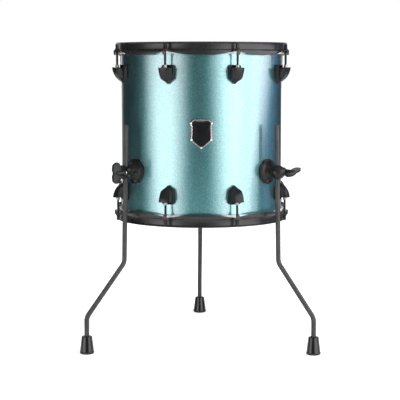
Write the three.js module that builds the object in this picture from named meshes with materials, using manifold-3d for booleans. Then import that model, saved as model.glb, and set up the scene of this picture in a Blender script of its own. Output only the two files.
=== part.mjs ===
// A floor tom: a ply shell between two flanged hoops, eight lugs and tension rods at each end,
// and three bent legs held by hinged clamps on round brackets.
// Millimetres, +Z up. The drum stands on the plane z = 0 and its player's side faces -Y.

import * as THREE from 'three';
import { mergeVertices } from 'three/addons/utils/BufferGeometryUtils.js';
import Module from 'manifold-3d';

const wasm = await Module();
wasm.setup();

// Shell
const SHELL_RADIUS = 177.8;
const SHELL_WALL = 7.2;
const SHELL_DEPTH = 355.6;
const BEARING_SETBACK = 2.5;
const VENT_RADIUS = 6;
const VENT_FLANGE_WIDTH = 4;
const VENT_FLANGE_THICKNESS = 1.2;
const VENT_WALL = 0.8;
const VENT_AZIMUTH_DEG = 135;

// Heads
const FILM_THICKNESS = 0.35;
const FLESH_RING_WIDTH = 5.4;
const FLESH_RING_HEIGHT = 7.6;
const FLESH_RING_GAP = 1.1;
const FLESH_RING_DROP = 2.4;

// Hoops
const HOOP_RISE = 17;
const HOOP_STEEL = 2.3;
const HOOP_LAP = 3.5;
const HOOP_ROLL_REACH = 5.9;
const HOOP_ROLL_THICKNESS = 2.6;
const SKIRT_GAP = 2.1;
const SKIRT_HEIGHT = 8;
const SCALLOP_RISE = 7.8;
const SCALLOP_HALF_ANGLE_DEG = 15.5;
const SCALLOP_POWER = 1.6;
const EAR_ROOT_WIDTH = 21;
const EAR_TIP_WIDTH = 9;
const EAR_END_REACH = 6.6;
const EAR_LIP_WIDTH = 7;

// Tension rods, on a circle outside the skirt
const ROD_SKIRT_DISTANCE = 8.3;
const ROD_RADIUS = 2.5;
const ROD_LENGTH = 50;
const ROD_WASHER_RADIUS = 6;
const ROD_WASHER_THICKNESS = 1.3;
const ROD_COLLAR_RADIUS = 4.6;
const ROD_COLLAR_HEIGHT = 2.6;
const ROD_HEAD_WIDTH = 5.8;
const ROD_HEAD_HEIGHT = 9.2;

// Lugs
const LUGS_PER_END = 8;
const FIRST_LUG_AZIMUTH_DEG = 22.5;
const LUG_SETBACK = 31.5;
const LUG_LENGTH = 39.7;
const LUG_WIDTH = 26.8;
const LUG_SHOULDER_WIDTH = 24;
const LUG_SHOULDER_HEIGHT = 10.7;
const LUG_REACH = 29.2;
const LUG_CREASE_DEPTH = 2.6;
const LUG_CORNER_CUT = 3;
const LUG_BROW_DROP = 4.9;
const LUG_BROW_DEPTH = 8;
const LUG_BASE_THICKNESS = 8;
const LUG_BASE_MARGIN = 0.4;
const LUG_CURVE_POWER = 1.75;
const LUG_SCREW_RADIUS = 2.5;
const LUG_SCREW_DISTANCE = 20;
const SCREW_HEAD_RADIUS = 5;
const SCREW_HEAD_HEIGHT = 3.2;
const SCREW_WASHER_RADIUS = 7.5;
const SCREW_WASHER_THICKNESS = 1.2;
const NUT_RADIUS = 3.8;
const NUT_RISE = 5.6;
const NUT_BORE_DEPTH = 24;

// Badge
const BADGE_WIDTH = 52;
const BADGE_HEIGHT = 64.5;
const BADGE_CENTRE_RISE = 2;
const BADGE_PLATE_THICKNESS = 2;
const BADGE_RIM_THICKNESS = 3.6;
const BADGE_RIM_WIDTH = 4.2;

// Stance: the lower hoop stands clear of the floor, and the clamps sit above the shell's lower edge
const HOOP_CLEARANCE = 272.4;
const BRACKET_HEIGHT = 95.9;
const FRONT_BRACKET_AZIMUTH_DEG = 52.5;
const REAR_BRACKET_AZIMUTH_DEG = 180.8;

// Leg brackets
const GASKET_THICKNESS = 1.6;
const GASKET_MARGIN = 0.3;
const FLANGE_RADIUS = 27.4;
const FLANGE_THICKNESS = 3;
const CONE_FOOT_RADIUS = 25;
const CONE_LENGTH = 10.5;
const NECK_RADIUS = 15.5;
const LEG_AXIS_REACH = 27.2;
const CLAMP_MOUTH = 3.6;
const BRACKET_SCREW_SPACING = 30;
const FORK_SLOT_HEIGHT = 6.6;
const HINGE_PIN_RADIUS = 1.6;
const HINGE_PIN_OFFSET = 12.5;
const HINGE_PIN_SETBACK = 6.2;

// Clamp jaws
const JAW_CENTRE_REACH = 2;
const JAW_DEPTH = 19;
const JAW_HALF_WIDTH = 15.5;
const JAW_HALF_HEIGHT = 15.5;
const JAW_SIDE_SHIFT = 3;
const TONGUE_HEIGHT = 5.8;
const TONGUE_RADIUS = 4.2;
const NOSE_HALF_HEIGHT = 9;
const NOSE_HALF_WIDTH = 8;

// Swing bolts and wing nuts
const SWING_PIN_OFFSET = 14;
const SWING_PIN_SETBACK = 6.5;
const BOLT_RADIUS = 3;
const BOLT_EYE_RADIUS = 5.5;
const BOLT_EYE_HEIGHT = 5.8;
const BOLT_LENGTH = 46;
const BOLT_SEAT_REACH = 16;
const BOLT_WASHER_RADIUS = 5.6;
const BOLT_WASHER_THICKNESS = 1.8;
const WING_HUB_RADIUS = 6.4;
const WING_HUB_LENGTH = 22;
const WING_SPAN = 44;
const WING_THICKNESS = 5.2;
const WING_START = 10;
const WING_DEPTH = 20;
const RIGHT_WING_TURN_DEG = -72;
const REAR_WING_TURN_DEG = 30;

// Legs and feet
const LEG_RADIUS = 5;
const LEG_TOP_RISE = 100.5;
const LEG_SPLAY_DEG = 1.2;
const LEG_UPPER_BEND_HEIGHT = 190;
const LEG_LOWER_BEND_HEIGHT = 78.5;
const LEG_FOOT_OFFSET = 89.4;
const LEG_BEND_RADIUS = 24;
const LEG_END_HEIGHT = 6;
const LEFT_LEG_TURN_DEG = -9;
const RIGHT_LEG_TURN_DEG = 2;
const FOOT_RADIUS = 15.7;
const FOOT_TOP_RADIUS = 11;
const FOOT_HEIGHT = 38.5;
const FOOT_HEEL_HEIGHT = 4;
const FOOT_EDGE_CUT = 1;

// Clearances, and how far a cutting body runs past what it cuts
const FIT_GAP = 0.3;
const CUT_OVERRUN = 25;

// Facet counts
const RING_SIDES = 48;
const ROUND_SIDES = 16;
const TUBE_SIDES = 10;
const SMALL_SIDES = 8;
const SCREW_SIDES = 6;
const BEND_STEPS = 3;
const SWEEP_STEPS = 5;

const bearingPeakRadius = SHELL_RADIUS - BEARING_SETBACK;
const shellInnerRadius = SHELL_RADIUS - SHELL_WALL;
const fleshInnerRadius = SHELL_RADIUS + FLESH_RING_GAP;
const fleshOuterRadius = fleshInnerRadius + FLESH_RING_WIDTH;
const collarInnerRadius = fleshOuterRadius - HOOP_LAP;
const collarOuterRadius = collarInnerRadius + HOOP_STEEL;
const skirtInnerRadius = fleshOuterRadius + SKIRT_GAP;
const skirtOuterRadius = skirtInnerRadius + HOOP_STEEL;
const rodCircleRadius = skirtOuterRadius + ROD_SKIRT_DISTANCE;
const earTipRadius = rodCircleRadius + EAR_END_REACH;
const flangeUnder = FIT_GAP - FLESH_RING_DROP;
const flangeTop = flangeUnder + HOOP_STEEL;
const skirtBottom = flangeUnder - SKIRT_HEIGHT;
const legAxisRadius = SHELL_RADIUS + LEG_AXIS_REACH;
const neckEndRadius = legAxisRadius - CLAMP_MOUTH / 2;
const jawFaceRadius = legAxisRadius + CLAMP_MOUTH / 2;
const boltPinRadius = legAxisRadius - SWING_PIN_SETBACK;
const hingePinRadius = legAxisRadius - HINGE_PIN_SETBACK;
const lowerEdgeHeight = HOOP_CLEARANCE + HOOP_RISE;
const midHeight = lowerEdgeHeight + SHELL_DEPTH / 2;
const clampHeight = lowerEdgeHeight + BRACKET_HEIGHT;

// Finishes
const sparkleLacquer = new THREE.MeshStandardMaterial({ color: 0x6fb3b4, roughness: 0.25, metalness: 0.6 });
const blackMetal = new THREE.MeshStandardMaterial({ color: 0x1b1c1d, roughness: 0.35, metalness: 0.7 });
const blackTube = new THREE.MeshStandardMaterial({ color: 0x202121, roughness: 0.3, metalness: 0.7 });
const rubber = new THREE.MeshStandardMaterial({ color: 0x26282a, roughness: 0.7, metalness: 0 });
const film = new THREE.MeshStandardMaterial({ color: 0xe9e8e2, roughness: 0.5, metalness: 0 });
const brightSteel = new THREE.MeshStandardMaterial({ color: 0xc9c9c6, roughness: 0.25, metalness: 1 });

// Turns a closed geometry into a solid, with its faces pointing out.
function solid(geometry) {
  const bare = new THREE.BufferGeometry();
  bare.setAttribute('position', geometry.getAttribute('position').clone());
  bare.setIndex(geometry.getIndex());
  const merged = mergeVertices(bare);
  const corners = merged.getIndex().array;
  const triangles = [];
  for (let i = 0; i < corners.length; i += 3) {
    const [a, b, c] = [corners[i], corners[i + 1], corners[i + 2]];
    if (a !== b && b !== c && c !== a) triangles.push(a, b, c);
  }
  const vertProperties = new Float32Array(merged.getAttribute('position').array);
  const body = closedBody(vertProperties, triangles);
  if (body.volume() > 0) return body;
  return closedBody(vertProperties, triangles.reverse());
}

function closedBody(vertProperties, triangles) {
  const triVerts = new Uint32Array(triangles);
  return new wasm.Manifold(new wasm.Mesh({ numProp: 3, vertProperties, triVerts }));
}

function geometryOf(body) {
  const mesh = body.getMesh();
  const geometry = new THREE.BufferGeometry();
  geometry.setAttribute('position', new THREE.BufferAttribute(mesh.vertProperties, 3));
  geometry.setIndex(new THREE.BufferAttribute(mesh.triVerts, 1));
  return geometry;
}

function named(name, body, material) {
  const mesh = new THREE.Mesh(geometryOf(body), material);
  mesh.name = name;
  return mesh;
}

function points(pairs) {
  return pairs.map(([x, y]) => new THREE.Vector2(x, y));
}

// A body of revolution about Z from [radius, height] pairs, with a facet edge at azimuth zero.
function turned(profile, sides) {
  return solid(new THREE.LatheGeometry(points(profile), sides).rotateX(Math.PI / 2));
}

// The same about X, from [reach along X, radius] pairs.
function turnedAboutX(profile, sides) {
  const flipped = profile.map(([reach, radius]) => [radius, reach]);
  return solid(new THREE.LatheGeometry(points(flipped), sides).rotateZ(-Math.PI / 2));
}

// A rod along X, or one along Z, between two ends.
function rodAlongX(start, end, radius, sides) {
  return turnedAboutX([[start, 0], [start, radius], [end, radius], [end, 0]], sides);
}

function rodAlongZ(bottom, top, radius, sides) {
  return turned([[0, bottom], [radius, bottom], [radius, top], [0, top]], sides);
}

// The room for a round of the given radius: even its flats clear the round by the fitting gap.
function boreAlongX(start, end, radius, sides) {
  return rodAlongX(start, end, (radius + FIT_GAP) / Math.cos(Math.PI / sides), sides);
}

function boreAlongZ(bottom, top, radius, sides) {
  return rodAlongZ(bottom, top, (radius + FIT_GAP) / Math.cos(Math.PI / sides), sides);
}

function box(low, high) {
  const size = high.map((value, axis) => value - low[axis]);
  const centre = high.map((value, axis) => (value + low[axis]) / 2);
  return solid(new THREE.BoxGeometry(...size).translate(...centre));
}

// A flat outline given as [Y, Z] pairs, drawn out along X.
function plateAlongX(outline, start, end) {
  const geometry = new THREE.ExtrudeGeometry(new THREE.Shape(points(outline)), {
    depth: end - start,
    bevelEnabled: false,
  });
  geometry.rotateX(Math.PI / 2).rotateZ(Math.PI / 2);
  return solid(geometry.translate(start, 0, 0));
}

// A flat outline given as [X, Z] pairs, drawn out along Y.
function plateAlongY(outline, start, end) {
  const geometry = new THREE.ExtrudeGeometry(new THREE.Shape(points(outline)), {
    depth: end - start,
    bevelEnabled: false,
  });
  return solid(geometry.rotateX(Math.PI / 2).translate(0, end, 0));
}

// A flat outline given as [X, Y] pairs, drawn out along Z.
function plateAlongZ(outline, bottom, top) {
  const geometry = new THREE.ExtrudeGeometry(new THREE.Shape(points(outline)), {
    depth: top - bottom,
    bevelEnabled: false,
  });
  return solid(geometry.translate(0, 0, bottom));
}

// In a radial frame +X points out of the drum, +Y round it and +Z up.
function radialTurn(azimuthDeg) {
  return THREE.MathUtils.degToRad(azimuthDeg - 90);
}

// What lies within a radius of the drum's axis, in the radial frame of an azimuth.
function drumCore(radius, azimuthDeg, halfHeight) {
  const core = rodAlongZ(-halfHeight, halfHeight, radius, RING_SIDES);
  return core.rotate([0, 0, 90 - azimuthDeg]);
}

function lugAzimuths() {
  const step = 360 / LUGS_PER_END;
  return Array.from({ length: LUGS_PER_END }, (_, i) => FIRST_LUG_AZIMUTH_DEG + i * step);
}

// Shell

function shell(legSites) {
  const half = SHELL_DEPTH / 2;
  const innerDrop = bearingPeakRadius - shellInnerRadius;
  let body = turned([
    [SHELL_RADIUS, BEARING_SETBACK - half],
    [SHELL_RADIUS, half - BEARING_SETBACK],
    [bearingPeakRadius, half],
    [shellInnerRadius, half - innerDrop],
    [shellInnerRadius, innerDrop - half],
    [bearingPeakRadius, -half],
    [SHELL_RADIUS, BEARING_SETBACK - half],
  ], RING_SIDES);
  const start = shellInnerRadius - CUT_OVERRUN;
  const end = SHELL_RADIUS + CUT_OVERRUN;
  const screwHole = boreAlongX(start, end, LUG_SCREW_RADIUS, SCREW_SIDES);
  const screwHeight = half - LUG_SETBACK - LUG_SCREW_DISTANCE;
  const holes = [];
  for (const azimuth of lugAzimuths()) {
    for (const height of [-screwHeight, screwHeight]) {
      holes.push(screwHole.translate([0, 0, height]).rotate([0, 0, azimuth - 90]));
    }
  }
  for (const site of legSites) {
    for (const side of [-1, 1]) {
      const height = BRACKET_HEIGHT - half + side * BRACKET_SCREW_SPACING / 2;
      holes.push(screwHole.translate([0, 0, height]).rotate([0, 0, site.azimuth - 90]));
    }
  }
  const ventHole = boreAlongX(start, end, VENT_RADIUS + VENT_WALL, TUBE_SIDES);
  holes.push(ventHole.rotate([0, 0, VENT_AZIMUTH_DEG - 90]));
  for (const hole of holes) body = body.subtract(hole);
  return body;
}

// An eyelet through the shell, with its flange outside and its clinched lip inside.
function ventGrommet() {
  const outerRadius = VENT_RADIUS + VENT_WALL;
  const flangeRadius = outerRadius + VENT_FLANGE_WIDTH;
  const outside = SHELL_RADIUS + FIT_GAP;
  const inside = shellInnerRadius * Math.cos(Math.PI / RING_SIDES) - FIT_GAP;
  return turnedAboutX([
    [inside - VENT_FLANGE_THICKNESS, VENT_RADIUS],
    [outside + VENT_FLANGE_THICKNESS, VENT_RADIUS],
    [outside + VENT_FLANGE_THICKNESS, flangeRadius],
    [outside, flangeRadius],
    [outside, outerRadius],
    [inside, outerRadius],
    [inside, outerRadius + VENT_FLANGE_WIDTH / 2],
    [inside - VENT_FLANGE_THICKNESS, outerRadius + VENT_FLANGE_WIDTH / 2],
    [inside - VENT_FLANGE_THICKNESS, VENT_RADIUS],
  ], TUBE_SIDES);
}

// A shield with a flat top, drawn from shares of its width and height.
function shieldOutline(margin) {
  const halfWidth = BADGE_WIDTH / 2 - margin;
  const halfHeight = BADGE_HEIGHT / 2 - margin;
  const rightShares = [[0, -1], [0.92, -0.4], [0.87, 0.1], [0.87, 0.5], [1, 0.76], [0.62, 1]];
  const leftShares = rightShares.slice(1).reverse().map(([across, up]) => [-across, up]);
  return [...rightShares, ...leftShares].map(([across, up]) => [across * halfWidth, up * halfHeight]);
}

function badge() {
  const back = SHELL_RADIUS - CUT_OVERRUN;
  const face = SHELL_RADIUS + FIT_GAP + BADGE_PLATE_THICKNESS;
  const rimFace = SHELL_RADIUS + FIT_GAP + BADGE_RIM_THICKNESS;
  const plate = plateAlongX(shieldOutline(0), back, rimFace);
  const field = plateAlongX(shieldOutline(BADGE_RIM_WIDTH), face, rimFace + CUT_OVERRUN);
  const core = drumCore(SHELL_RADIUS + FIT_GAP, 0, BADGE_HEIGHT);
  return plate.subtract(field).subtract(core);
}

// Heads and hoops, with z = 0 in the plane of the bearing edge

function head() {
  const filmTop = FIT_GAP + FILM_THICKNESS;
  const bendRadius = bearingPeakRadius + FIT_GAP;
  const ringTop = -FLESH_RING_DROP;
  const ringBottom = ringTop - FLESH_RING_HEIGHT;
  const seamRadius = fleshInnerRadius + FLESH_RING_WIDTH / 4;
  const slope = (ringTop - filmTop) / (seamRadius - bendRadius);
  const underfilm = filmTop + slope * (fleshInnerRadius - bendRadius) - FILM_THICKNESS;
  return turned([
    [0, filmTop],
    [bendRadius, filmTop],
    [seamRadius, ringTop],
    [fleshOuterRadius, ringTop],
    [fleshOuterRadius, ringBottom],
    [fleshInnerRadius, ringBottom],
    [fleshInnerRadius, underfilm],
    [bendRadius - FIT_GAP, FIT_GAP],
    [0, FIT_GAP],
  ], RING_SIDES);
}

// The height of the skirt's lower edge: it rises in a scallop under each ear.
function skirtEdge(azimuthDeg) {
  const step = 360 / LUGS_PER_END;
  const turns = (azimuthDeg - FIRST_LUG_AZIMUTH_DEG) / step;
  const distance = Math.abs(turns - Math.round(turns)) * step;
  if (distance >= SCALLOP_HALF_ANGLE_DEG) return skirtBottom;
  return skirtBottom + SCALLOP_RISE * (1 - distance / SCALLOP_HALF_ANGLE_DEG) ** SCALLOP_POWER;
}

function hoopRing() {
  const rollTop = HOOP_RISE;
  const geometry = new THREE.LatheGeometry(points([
    [collarInnerRadius, rollTop],
    [collarInnerRadius, flangeUnder],
    [skirtInnerRadius, flangeUnder],
    [skirtInnerRadius, skirtBottom],
    [skirtOuterRadius, skirtBottom],
    [skirtOuterRadius, flangeTop],
    [collarOuterRadius, flangeTop],
    [collarOuterRadius, rollTop - HOOP_ROLL_THICKNESS],
    [collarOuterRadius + HOOP_ROLL_REACH, rollTop - HOOP_ROLL_THICKNESS],
    [collarOuterRadius + HOOP_ROLL_REACH, rollTop],
    [collarInnerRadius, rollTop],
  ]), RING_SIDES);
  geometry.rotateX(Math.PI / 2);
  const position = geometry.getAttribute('position');
  for (let i = 0; i < position.count; i += 1) {
    if (position.getZ(i) > flangeUnder - SKIRT_HEIGHT / 2) continue;
    const azimuth = THREE.MathUtils.radToDeg(Math.atan2(position.getX(i), -position.getY(i)));
    position.setZ(i, skirtEdge(azimuth));
  }
  return solid(geometry);
}

function hoop() {
  const ear = plateAlongZ([
    [collarInnerRadius + HOOP_STEEL / 2, -EAR_ROOT_WIDTH / 2],
    [skirtOuterRadius, -EAR_ROOT_WIDTH / 2],
    [earTipRadius, -EAR_TIP_WIDTH / 2],
    [earTipRadius, EAR_TIP_WIDTH / 2],
    [skirtOuterRadius, EAR_ROOT_WIDTH / 2],
    [collarInnerRadius + HOOP_STEEL / 2, EAR_ROOT_WIDTH / 2],
  ], flangeUnder, flangeTop);
  const lipHalf = EAR_LIP_WIDTH / 2;
  const lip = box([earTipRadius - HOOP_STEEL, -lipHalf, skirtBottom], [earTipRadius, lipHalf, flangeTop]);
  const hole = boreAlongZ(-CUT_OVERRUN, CUT_OVERRUN, ROD_RADIUS + FIT_GAP, SMALL_SIDES);
  const lippedEar = ear.add(lip).subtract(hole.translate([rodCircleRadius, 0, 0]));
  let body = hoopRing();
  for (const azimuth of lugAzimuths()) body = body.add(lippedEar.rotate([0, 0, azimuth - 90]));
  return body;
}

// Lugs and tension rods, in a radial frame with z = 0 in the plane of the bearing edge

function lugOutline(margin) {
  const half = LUG_WIDTH / 2 + margin;
  const shoulderHalf = LUG_SHOULDER_WIDTH / 2 + margin;
  const top = margin - LUG_SETBACK;
  const tip = -LUG_SETBACK - LUG_LENGTH - margin;
  return [
    [0, tip],
    [shoulderHalf, tip + LUG_SHOULDER_HEIGHT],
    [half, top - LUG_CORNER_CUT],
    [half - LUG_CORNER_CUT, top],
    [LUG_CORNER_CUT - half, top],
    [-half, top - LUG_CORNER_CUT],
    [-shoulderHalf, tip + LUG_SHOULDER_HEIGHT],
  ];
}

// The side profile: a raised brow at the shell, a flat top and a rounded sweep down to the point.
function lugProfile() {
  const browTop = -LUG_SETBACK;
  const shoulder = browTop - LUG_BROW_DROP;
  const browEnd = SHELL_RADIUS + LUG_BROW_DEPTH;
  const back = SHELL_RADIUS - CUT_OVERRUN;
  const sweep = Array.from({ length: SWEEP_STEPS + 1 }, (_, i) => {
    const angle = i / SWEEP_STEPS * Math.PI / 2;
    const outShare = Math.cos(angle) ** (2 / LUG_CURVE_POWER);
    const downShare = Math.sin(angle) ** (2 / LUG_CURVE_POWER);
    return [SHELL_RADIUS + outShare * LUG_REACH, shoulder - downShare * (LUG_LENGTH - LUG_BROW_DROP)];
  });
  const lowest = -LUG_SETBACK - LUG_LENGTH;
  return [
    [back, lowest], [back, browTop], [browEnd - LUG_BROW_DROP / 2, browTop], [browEnd, shoulder],
    ...sweep,
  ];
}

function lugPlan() {
  const front = SHELL_RADIUS + LUG_REACH;
  const cheek = front - LUG_CREASE_DEPTH;
  const back = SHELL_RADIUS - CUT_OVERRUN;
  const half = LUG_WIDTH / 2;
  const frontHalf = LUG_SHOULDER_WIDTH / 2;
  return [
    [back, -half], [SHELL_RADIUS, -half], [cheek, -frontHalf], [front, 0],
    [cheek, frontHalf], [SHELL_RADIUS, half], [back, half],
  ];
}

function lug(azimuthDeg) {
  const height = LUG_SETBACK + LUG_LENGTH + CUT_OVERRUN;
  const front = SHELL_RADIUS + LUG_REACH + CUT_OVERRUN;
  const outline = plateAlongX(lugOutline(0), SHELL_RADIUS - CUT_OVERRUN, front);
  const profile = plateAlongY(lugProfile(), -LUG_WIDTH, LUG_WIDTH);
  const plan = plateAlongZ(lugPlan(), -height, 0);
  const baseFace = SHELL_RADIUS + FIT_GAP + LUG_BASE_THICKNESS;
  const base = plateAlongX(lugOutline(LUG_BASE_MARGIN), SHELL_RADIUS - CUT_OVERRUN / 2, baseFace);
  const core = drumCore(SHELL_RADIUS + FIT_GAP, azimuthDeg, height);
  const nutFoot = -LUG_SETBACK - LUG_BROW_DROP * 2;
  const nutTop = -LUG_SETBACK - LUG_BROW_DROP + NUT_RISE;
  const nut = rodAlongZ(nutFoot, nutTop, NUT_RADIUS, TUBE_SIDES).translate([rodCircleRadius, 0, 0]);
  const bore = boreAlongZ(nutTop - NUT_BORE_DEPTH, nutTop + CUT_OVERRUN, ROD_RADIUS, SMALL_SIDES);
  const screwHeight = -LUG_SETBACK - LUG_SCREW_DISTANCE;
  return outline.intersect(profile).intersect(plan).add(base).subtract(core)
    .add(shellScrew(SHELL_RADIUS + LUG_BASE_THICKNESS).translate([0, 0, screwHeight]))
    .add(nut).subtract(bore.translate([rodCircleRadius, 0, 0]));
}

// A screw from inside the shell, its head and washer against the inner wall.
function shellScrew(shankEnd) {
  const wall = shellInnerRadius * Math.cos(Math.PI / RING_SIDES) - FIT_GAP;
  const washerFace = wall - SCREW_WASHER_THICKNESS;
  return turnedAboutX([
    [washerFace - SCREW_HEAD_HEIGHT, 0],
    [washerFace - SCREW_HEAD_HEIGHT, SCREW_HEAD_RADIUS],
    [washerFace, SCREW_HEAD_RADIUS],
    [washerFace, SCREW_WASHER_RADIUS],
    [wall, SCREW_WASHER_RADIUS],
    [wall, LUG_SCREW_RADIUS],
    [shankEnd, LUG_SCREW_RADIUS],
    [shankEnd, 0],
  ], SCREW_SIDES);
}

function tensionRod() {
  const seat = flangeTop;
  const washerTop = seat + ROD_WASHER_THICKNESS;
  const collarTop = washerTop + ROD_COLLAR_HEIGHT;
  const half = ROD_HEAD_WIDTH / 2;
  const stem = turned([
    [0, seat - ROD_LENGTH],
    [ROD_RADIUS, seat - ROD_LENGTH],
    [ROD_RADIUS, seat],
    [ROD_WASHER_RADIUS, seat],
    [ROD_WASHER_RADIUS, washerTop],
    [ROD_COLLAR_RADIUS, washerTop],
    [ROD_COLLAR_RADIUS, collarTop],
    [0, collarTop],
  ], SMALL_SIDES);
  const squareHead = box([-half, -half, washerTop], [half, half, collarTop + ROD_HEAD_HEIGHT]);
  return stem.add(squareHead);
}

// Leg brackets, in a radial frame with z = 0 at the clamp

// The leg's room in the clamp: it leans out by the splay angle.
function legRoom() {
  const room = boreAlongZ(-CUT_OVERRUN, CUT_OVERRUN, LEG_RADIUS, TUBE_SIDES);
  return room.rotate([0, -LEG_SPLAY_DEG, 0]).translate([legAxisRadius, 0, 0]);
}

function gasket(azimuthDeg) {
  const face = SHELL_RADIUS + FIT_GAP + GASKET_THICKNESS;
  const radius = FLANGE_RADIUS + GASKET_MARGIN;
  const disc = rodAlongX(SHELL_RADIUS - CUT_OVERRUN / 2, face, radius, ROUND_SIDES);
  const hole = boreAlongX(shellInnerRadius, face + CUT_OVERRUN, LUG_SCREW_RADIUS, SCREW_SIDES);
  const spacing = BRACKET_SCREW_SPACING / 2;
  return disc.subtract(drumCore(SHELL_RADIUS + FIT_GAP, azimuthDeg, FLANGE_RADIUS * 2))
    .subtract(hole.translate([0, 0, spacing])).subtract(hole.translate([0, 0, -spacing]));
}

function legBracket() {
  const flangeBack = SHELL_RADIUS + GASKET_THICKNESS + FIT_GAP * 2;
  const flangeFace = flangeBack + FLANGE_THICKNESS;
  const coneEnd = flangeFace + CONE_LENGTH;
  const casting = turnedAboutX([
    [flangeBack, 0],
    [flangeBack, FLANGE_RADIUS],
    [flangeFace - FLANGE_THICKNESS / 3, FLANGE_RADIUS],
    [flangeFace, CONE_FOOT_RADIUS],
    [coneEnd, NECK_RADIUS],
    [neckEndRadius, NECK_RADIUS],
    [neckEndRadius, 0],
  ], ROUND_SIDES);
  const slotHalf = FORK_SLOT_HEIGHT / 2;
  const end = neckEndRadius + CUT_OVERRUN;
  const hingeBack = hingePinRadius - TONGUE_RADIUS - FIT_GAP;
  const hingeSide = TONGUE_RADIUS + FIT_GAP - HINGE_PIN_OFFSET;
  const hingeSlot = box([hingeBack, -NECK_RADIUS * 2, -slotHalf], [end, hingeSide, slotHalf]);
  const boltBack = boltPinRadius - BOLT_EYE_RADIUS - FIT_GAP;
  const boltSide = SWING_PIN_OFFSET - BOLT_EYE_RADIUS - FIT_GAP;
  const boltSlot = box([boltBack, boltSide, -slotHalf], [end, NECK_RADIUS * 2, slotHalf]);
  const pinHalf = FORK_SLOT_HEIGHT;
  const pin = rodAlongZ(-pinHalf, pinHalf, HINGE_PIN_RADIUS, SMALL_SIDES);
  const screw = shellScrew(flangeFace);
  const spacing = BRACKET_SCREW_SPACING / 2;
  return casting.subtract(legRoom()).subtract(hingeSlot).subtract(boltSlot)
    .add(pin.translate([hingePinRadius, -HINGE_PIN_OFFSET, 0]))
    .add(pin.translate([boltPinRadius, SWING_PIN_OFFSET, 0]))
    .add(screw.translate([0, 0, spacing])).add(screw.translate([0, 0, -spacing]));
}

// The outer jaw: a rounded shell round the leg, hinged by a tongue on one side of the neck
// and notched for the swing bolt on the other.
function clampJaw() {
  const egg = solid(new THREE.SphereGeometry(1, ROUND_SIDES, SMALL_SIDES))
    .scale([JAW_DEPTH, JAW_HALF_WIDTH, JAW_HALF_HEIGHT])
    .translate([legAxisRadius + JAW_CENTRE_REACH, -JAW_SIDE_SHIFT, 0]);
  const reach = JAW_CENTRE_REACH + JAW_DEPTH + JAW_HALF_WIDTH;
  const outside = box(
    [jawFaceRadius, -reach, -reach], [legAxisRadius + reach, reach, reach]);
  const tongueHalf = TONGUE_HEIGHT / 2;
  const knuckle = rodAlongZ(-tongueHalf, tongueHalf, TONGUE_RADIUS, TUBE_SIDES)
    .translate([hingePinRadius, -HINGE_PIN_OFFSET, 0]);
  const tongue = box(
    [hingePinRadius, -HINGE_PIN_OFFSET - TONGUE_RADIUS, -tongueHalf],
    [jawFaceRadius + TONGUE_RADIUS, TONGUE_RADIUS - HINGE_PIN_OFFSET, tongueHalf]);
  const pinHole = boreAlongZ(-reach, reach, HINGE_PIN_RADIUS, SMALL_SIDES)
    .translate([hingePinRadius, -HINGE_PIN_OFFSET, 0]);
  const seatRadius = BOLT_SEAT_REACH - FIT_GAP;
  const nose = rodAlongZ(-NOSE_HALF_HEIGHT, NOSE_HALF_HEIGHT, seatRadius, ROUND_SIDES)
    .translate([boltPinRadius, SWING_PIN_OFFSET, 0])
    .intersect(box(
      [jawFaceRadius, SWING_PIN_OFFSET - NOSE_HALF_WIDTH, -NOSE_HALF_HEIGHT],
      [jawFaceRadius + seatRadius, SWING_PIN_OFFSET + NOSE_HALF_WIDTH, NOSE_HALF_HEIGHT]));
  const nutRadius = Math.max(BOLT_WASHER_RADIUS, WING_HUB_RADIUS) + FIT_GAP * 3;
  const nutRoom = rodAlongX(boltPinRadius + seatRadius, boltPinRadius + BOLT_LENGTH, nutRadius, ROUND_SIDES)
    .translate([0, SWING_PIN_OFFSET, 0]);
  const shankHalf = BOLT_RADIUS + FIT_GAP;
  const shankSlot = box(
    [jawFaceRadius - TONGUE_RADIUS, SWING_PIN_OFFSET - shankHalf, -shankHalf],
    [legAxisRadius + reach, reach + SWING_PIN_OFFSET, shankHalf]);
  return egg.intersect(outside).add(nose).add(knuckle).add(tongue)
    .subtract(pinHole).subtract(nutRoom).subtract(shankSlot).subtract(legRoom());
}

// A bolt with an eye on the swing pin and a washer behind the wing nut, with x = 0 at the pin.
function swingBolt() {
  const eyeHalf = BOLT_EYE_HEIGHT / 2;
  const eye = rodAlongZ(-eyeHalf, eyeHalf, BOLT_EYE_RADIUS, TUBE_SIDES);
  const shank = rodAlongX(0, BOLT_LENGTH, BOLT_RADIUS, SMALL_SIDES);
  const washer = rodAlongX(
    BOLT_SEAT_REACH, BOLT_SEAT_REACH + BOLT_WASHER_THICKNESS, BOLT_WASHER_RADIUS, TUBE_SIDES);
  const pinHole = boreAlongZ(-BOLT_EYE_HEIGHT, BOLT_EYE_HEIGHT, HINGE_PIN_RADIUS, SMALL_SIDES);
  return eye.add(shank).add(washer).subtract(pinHole);
}

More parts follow.
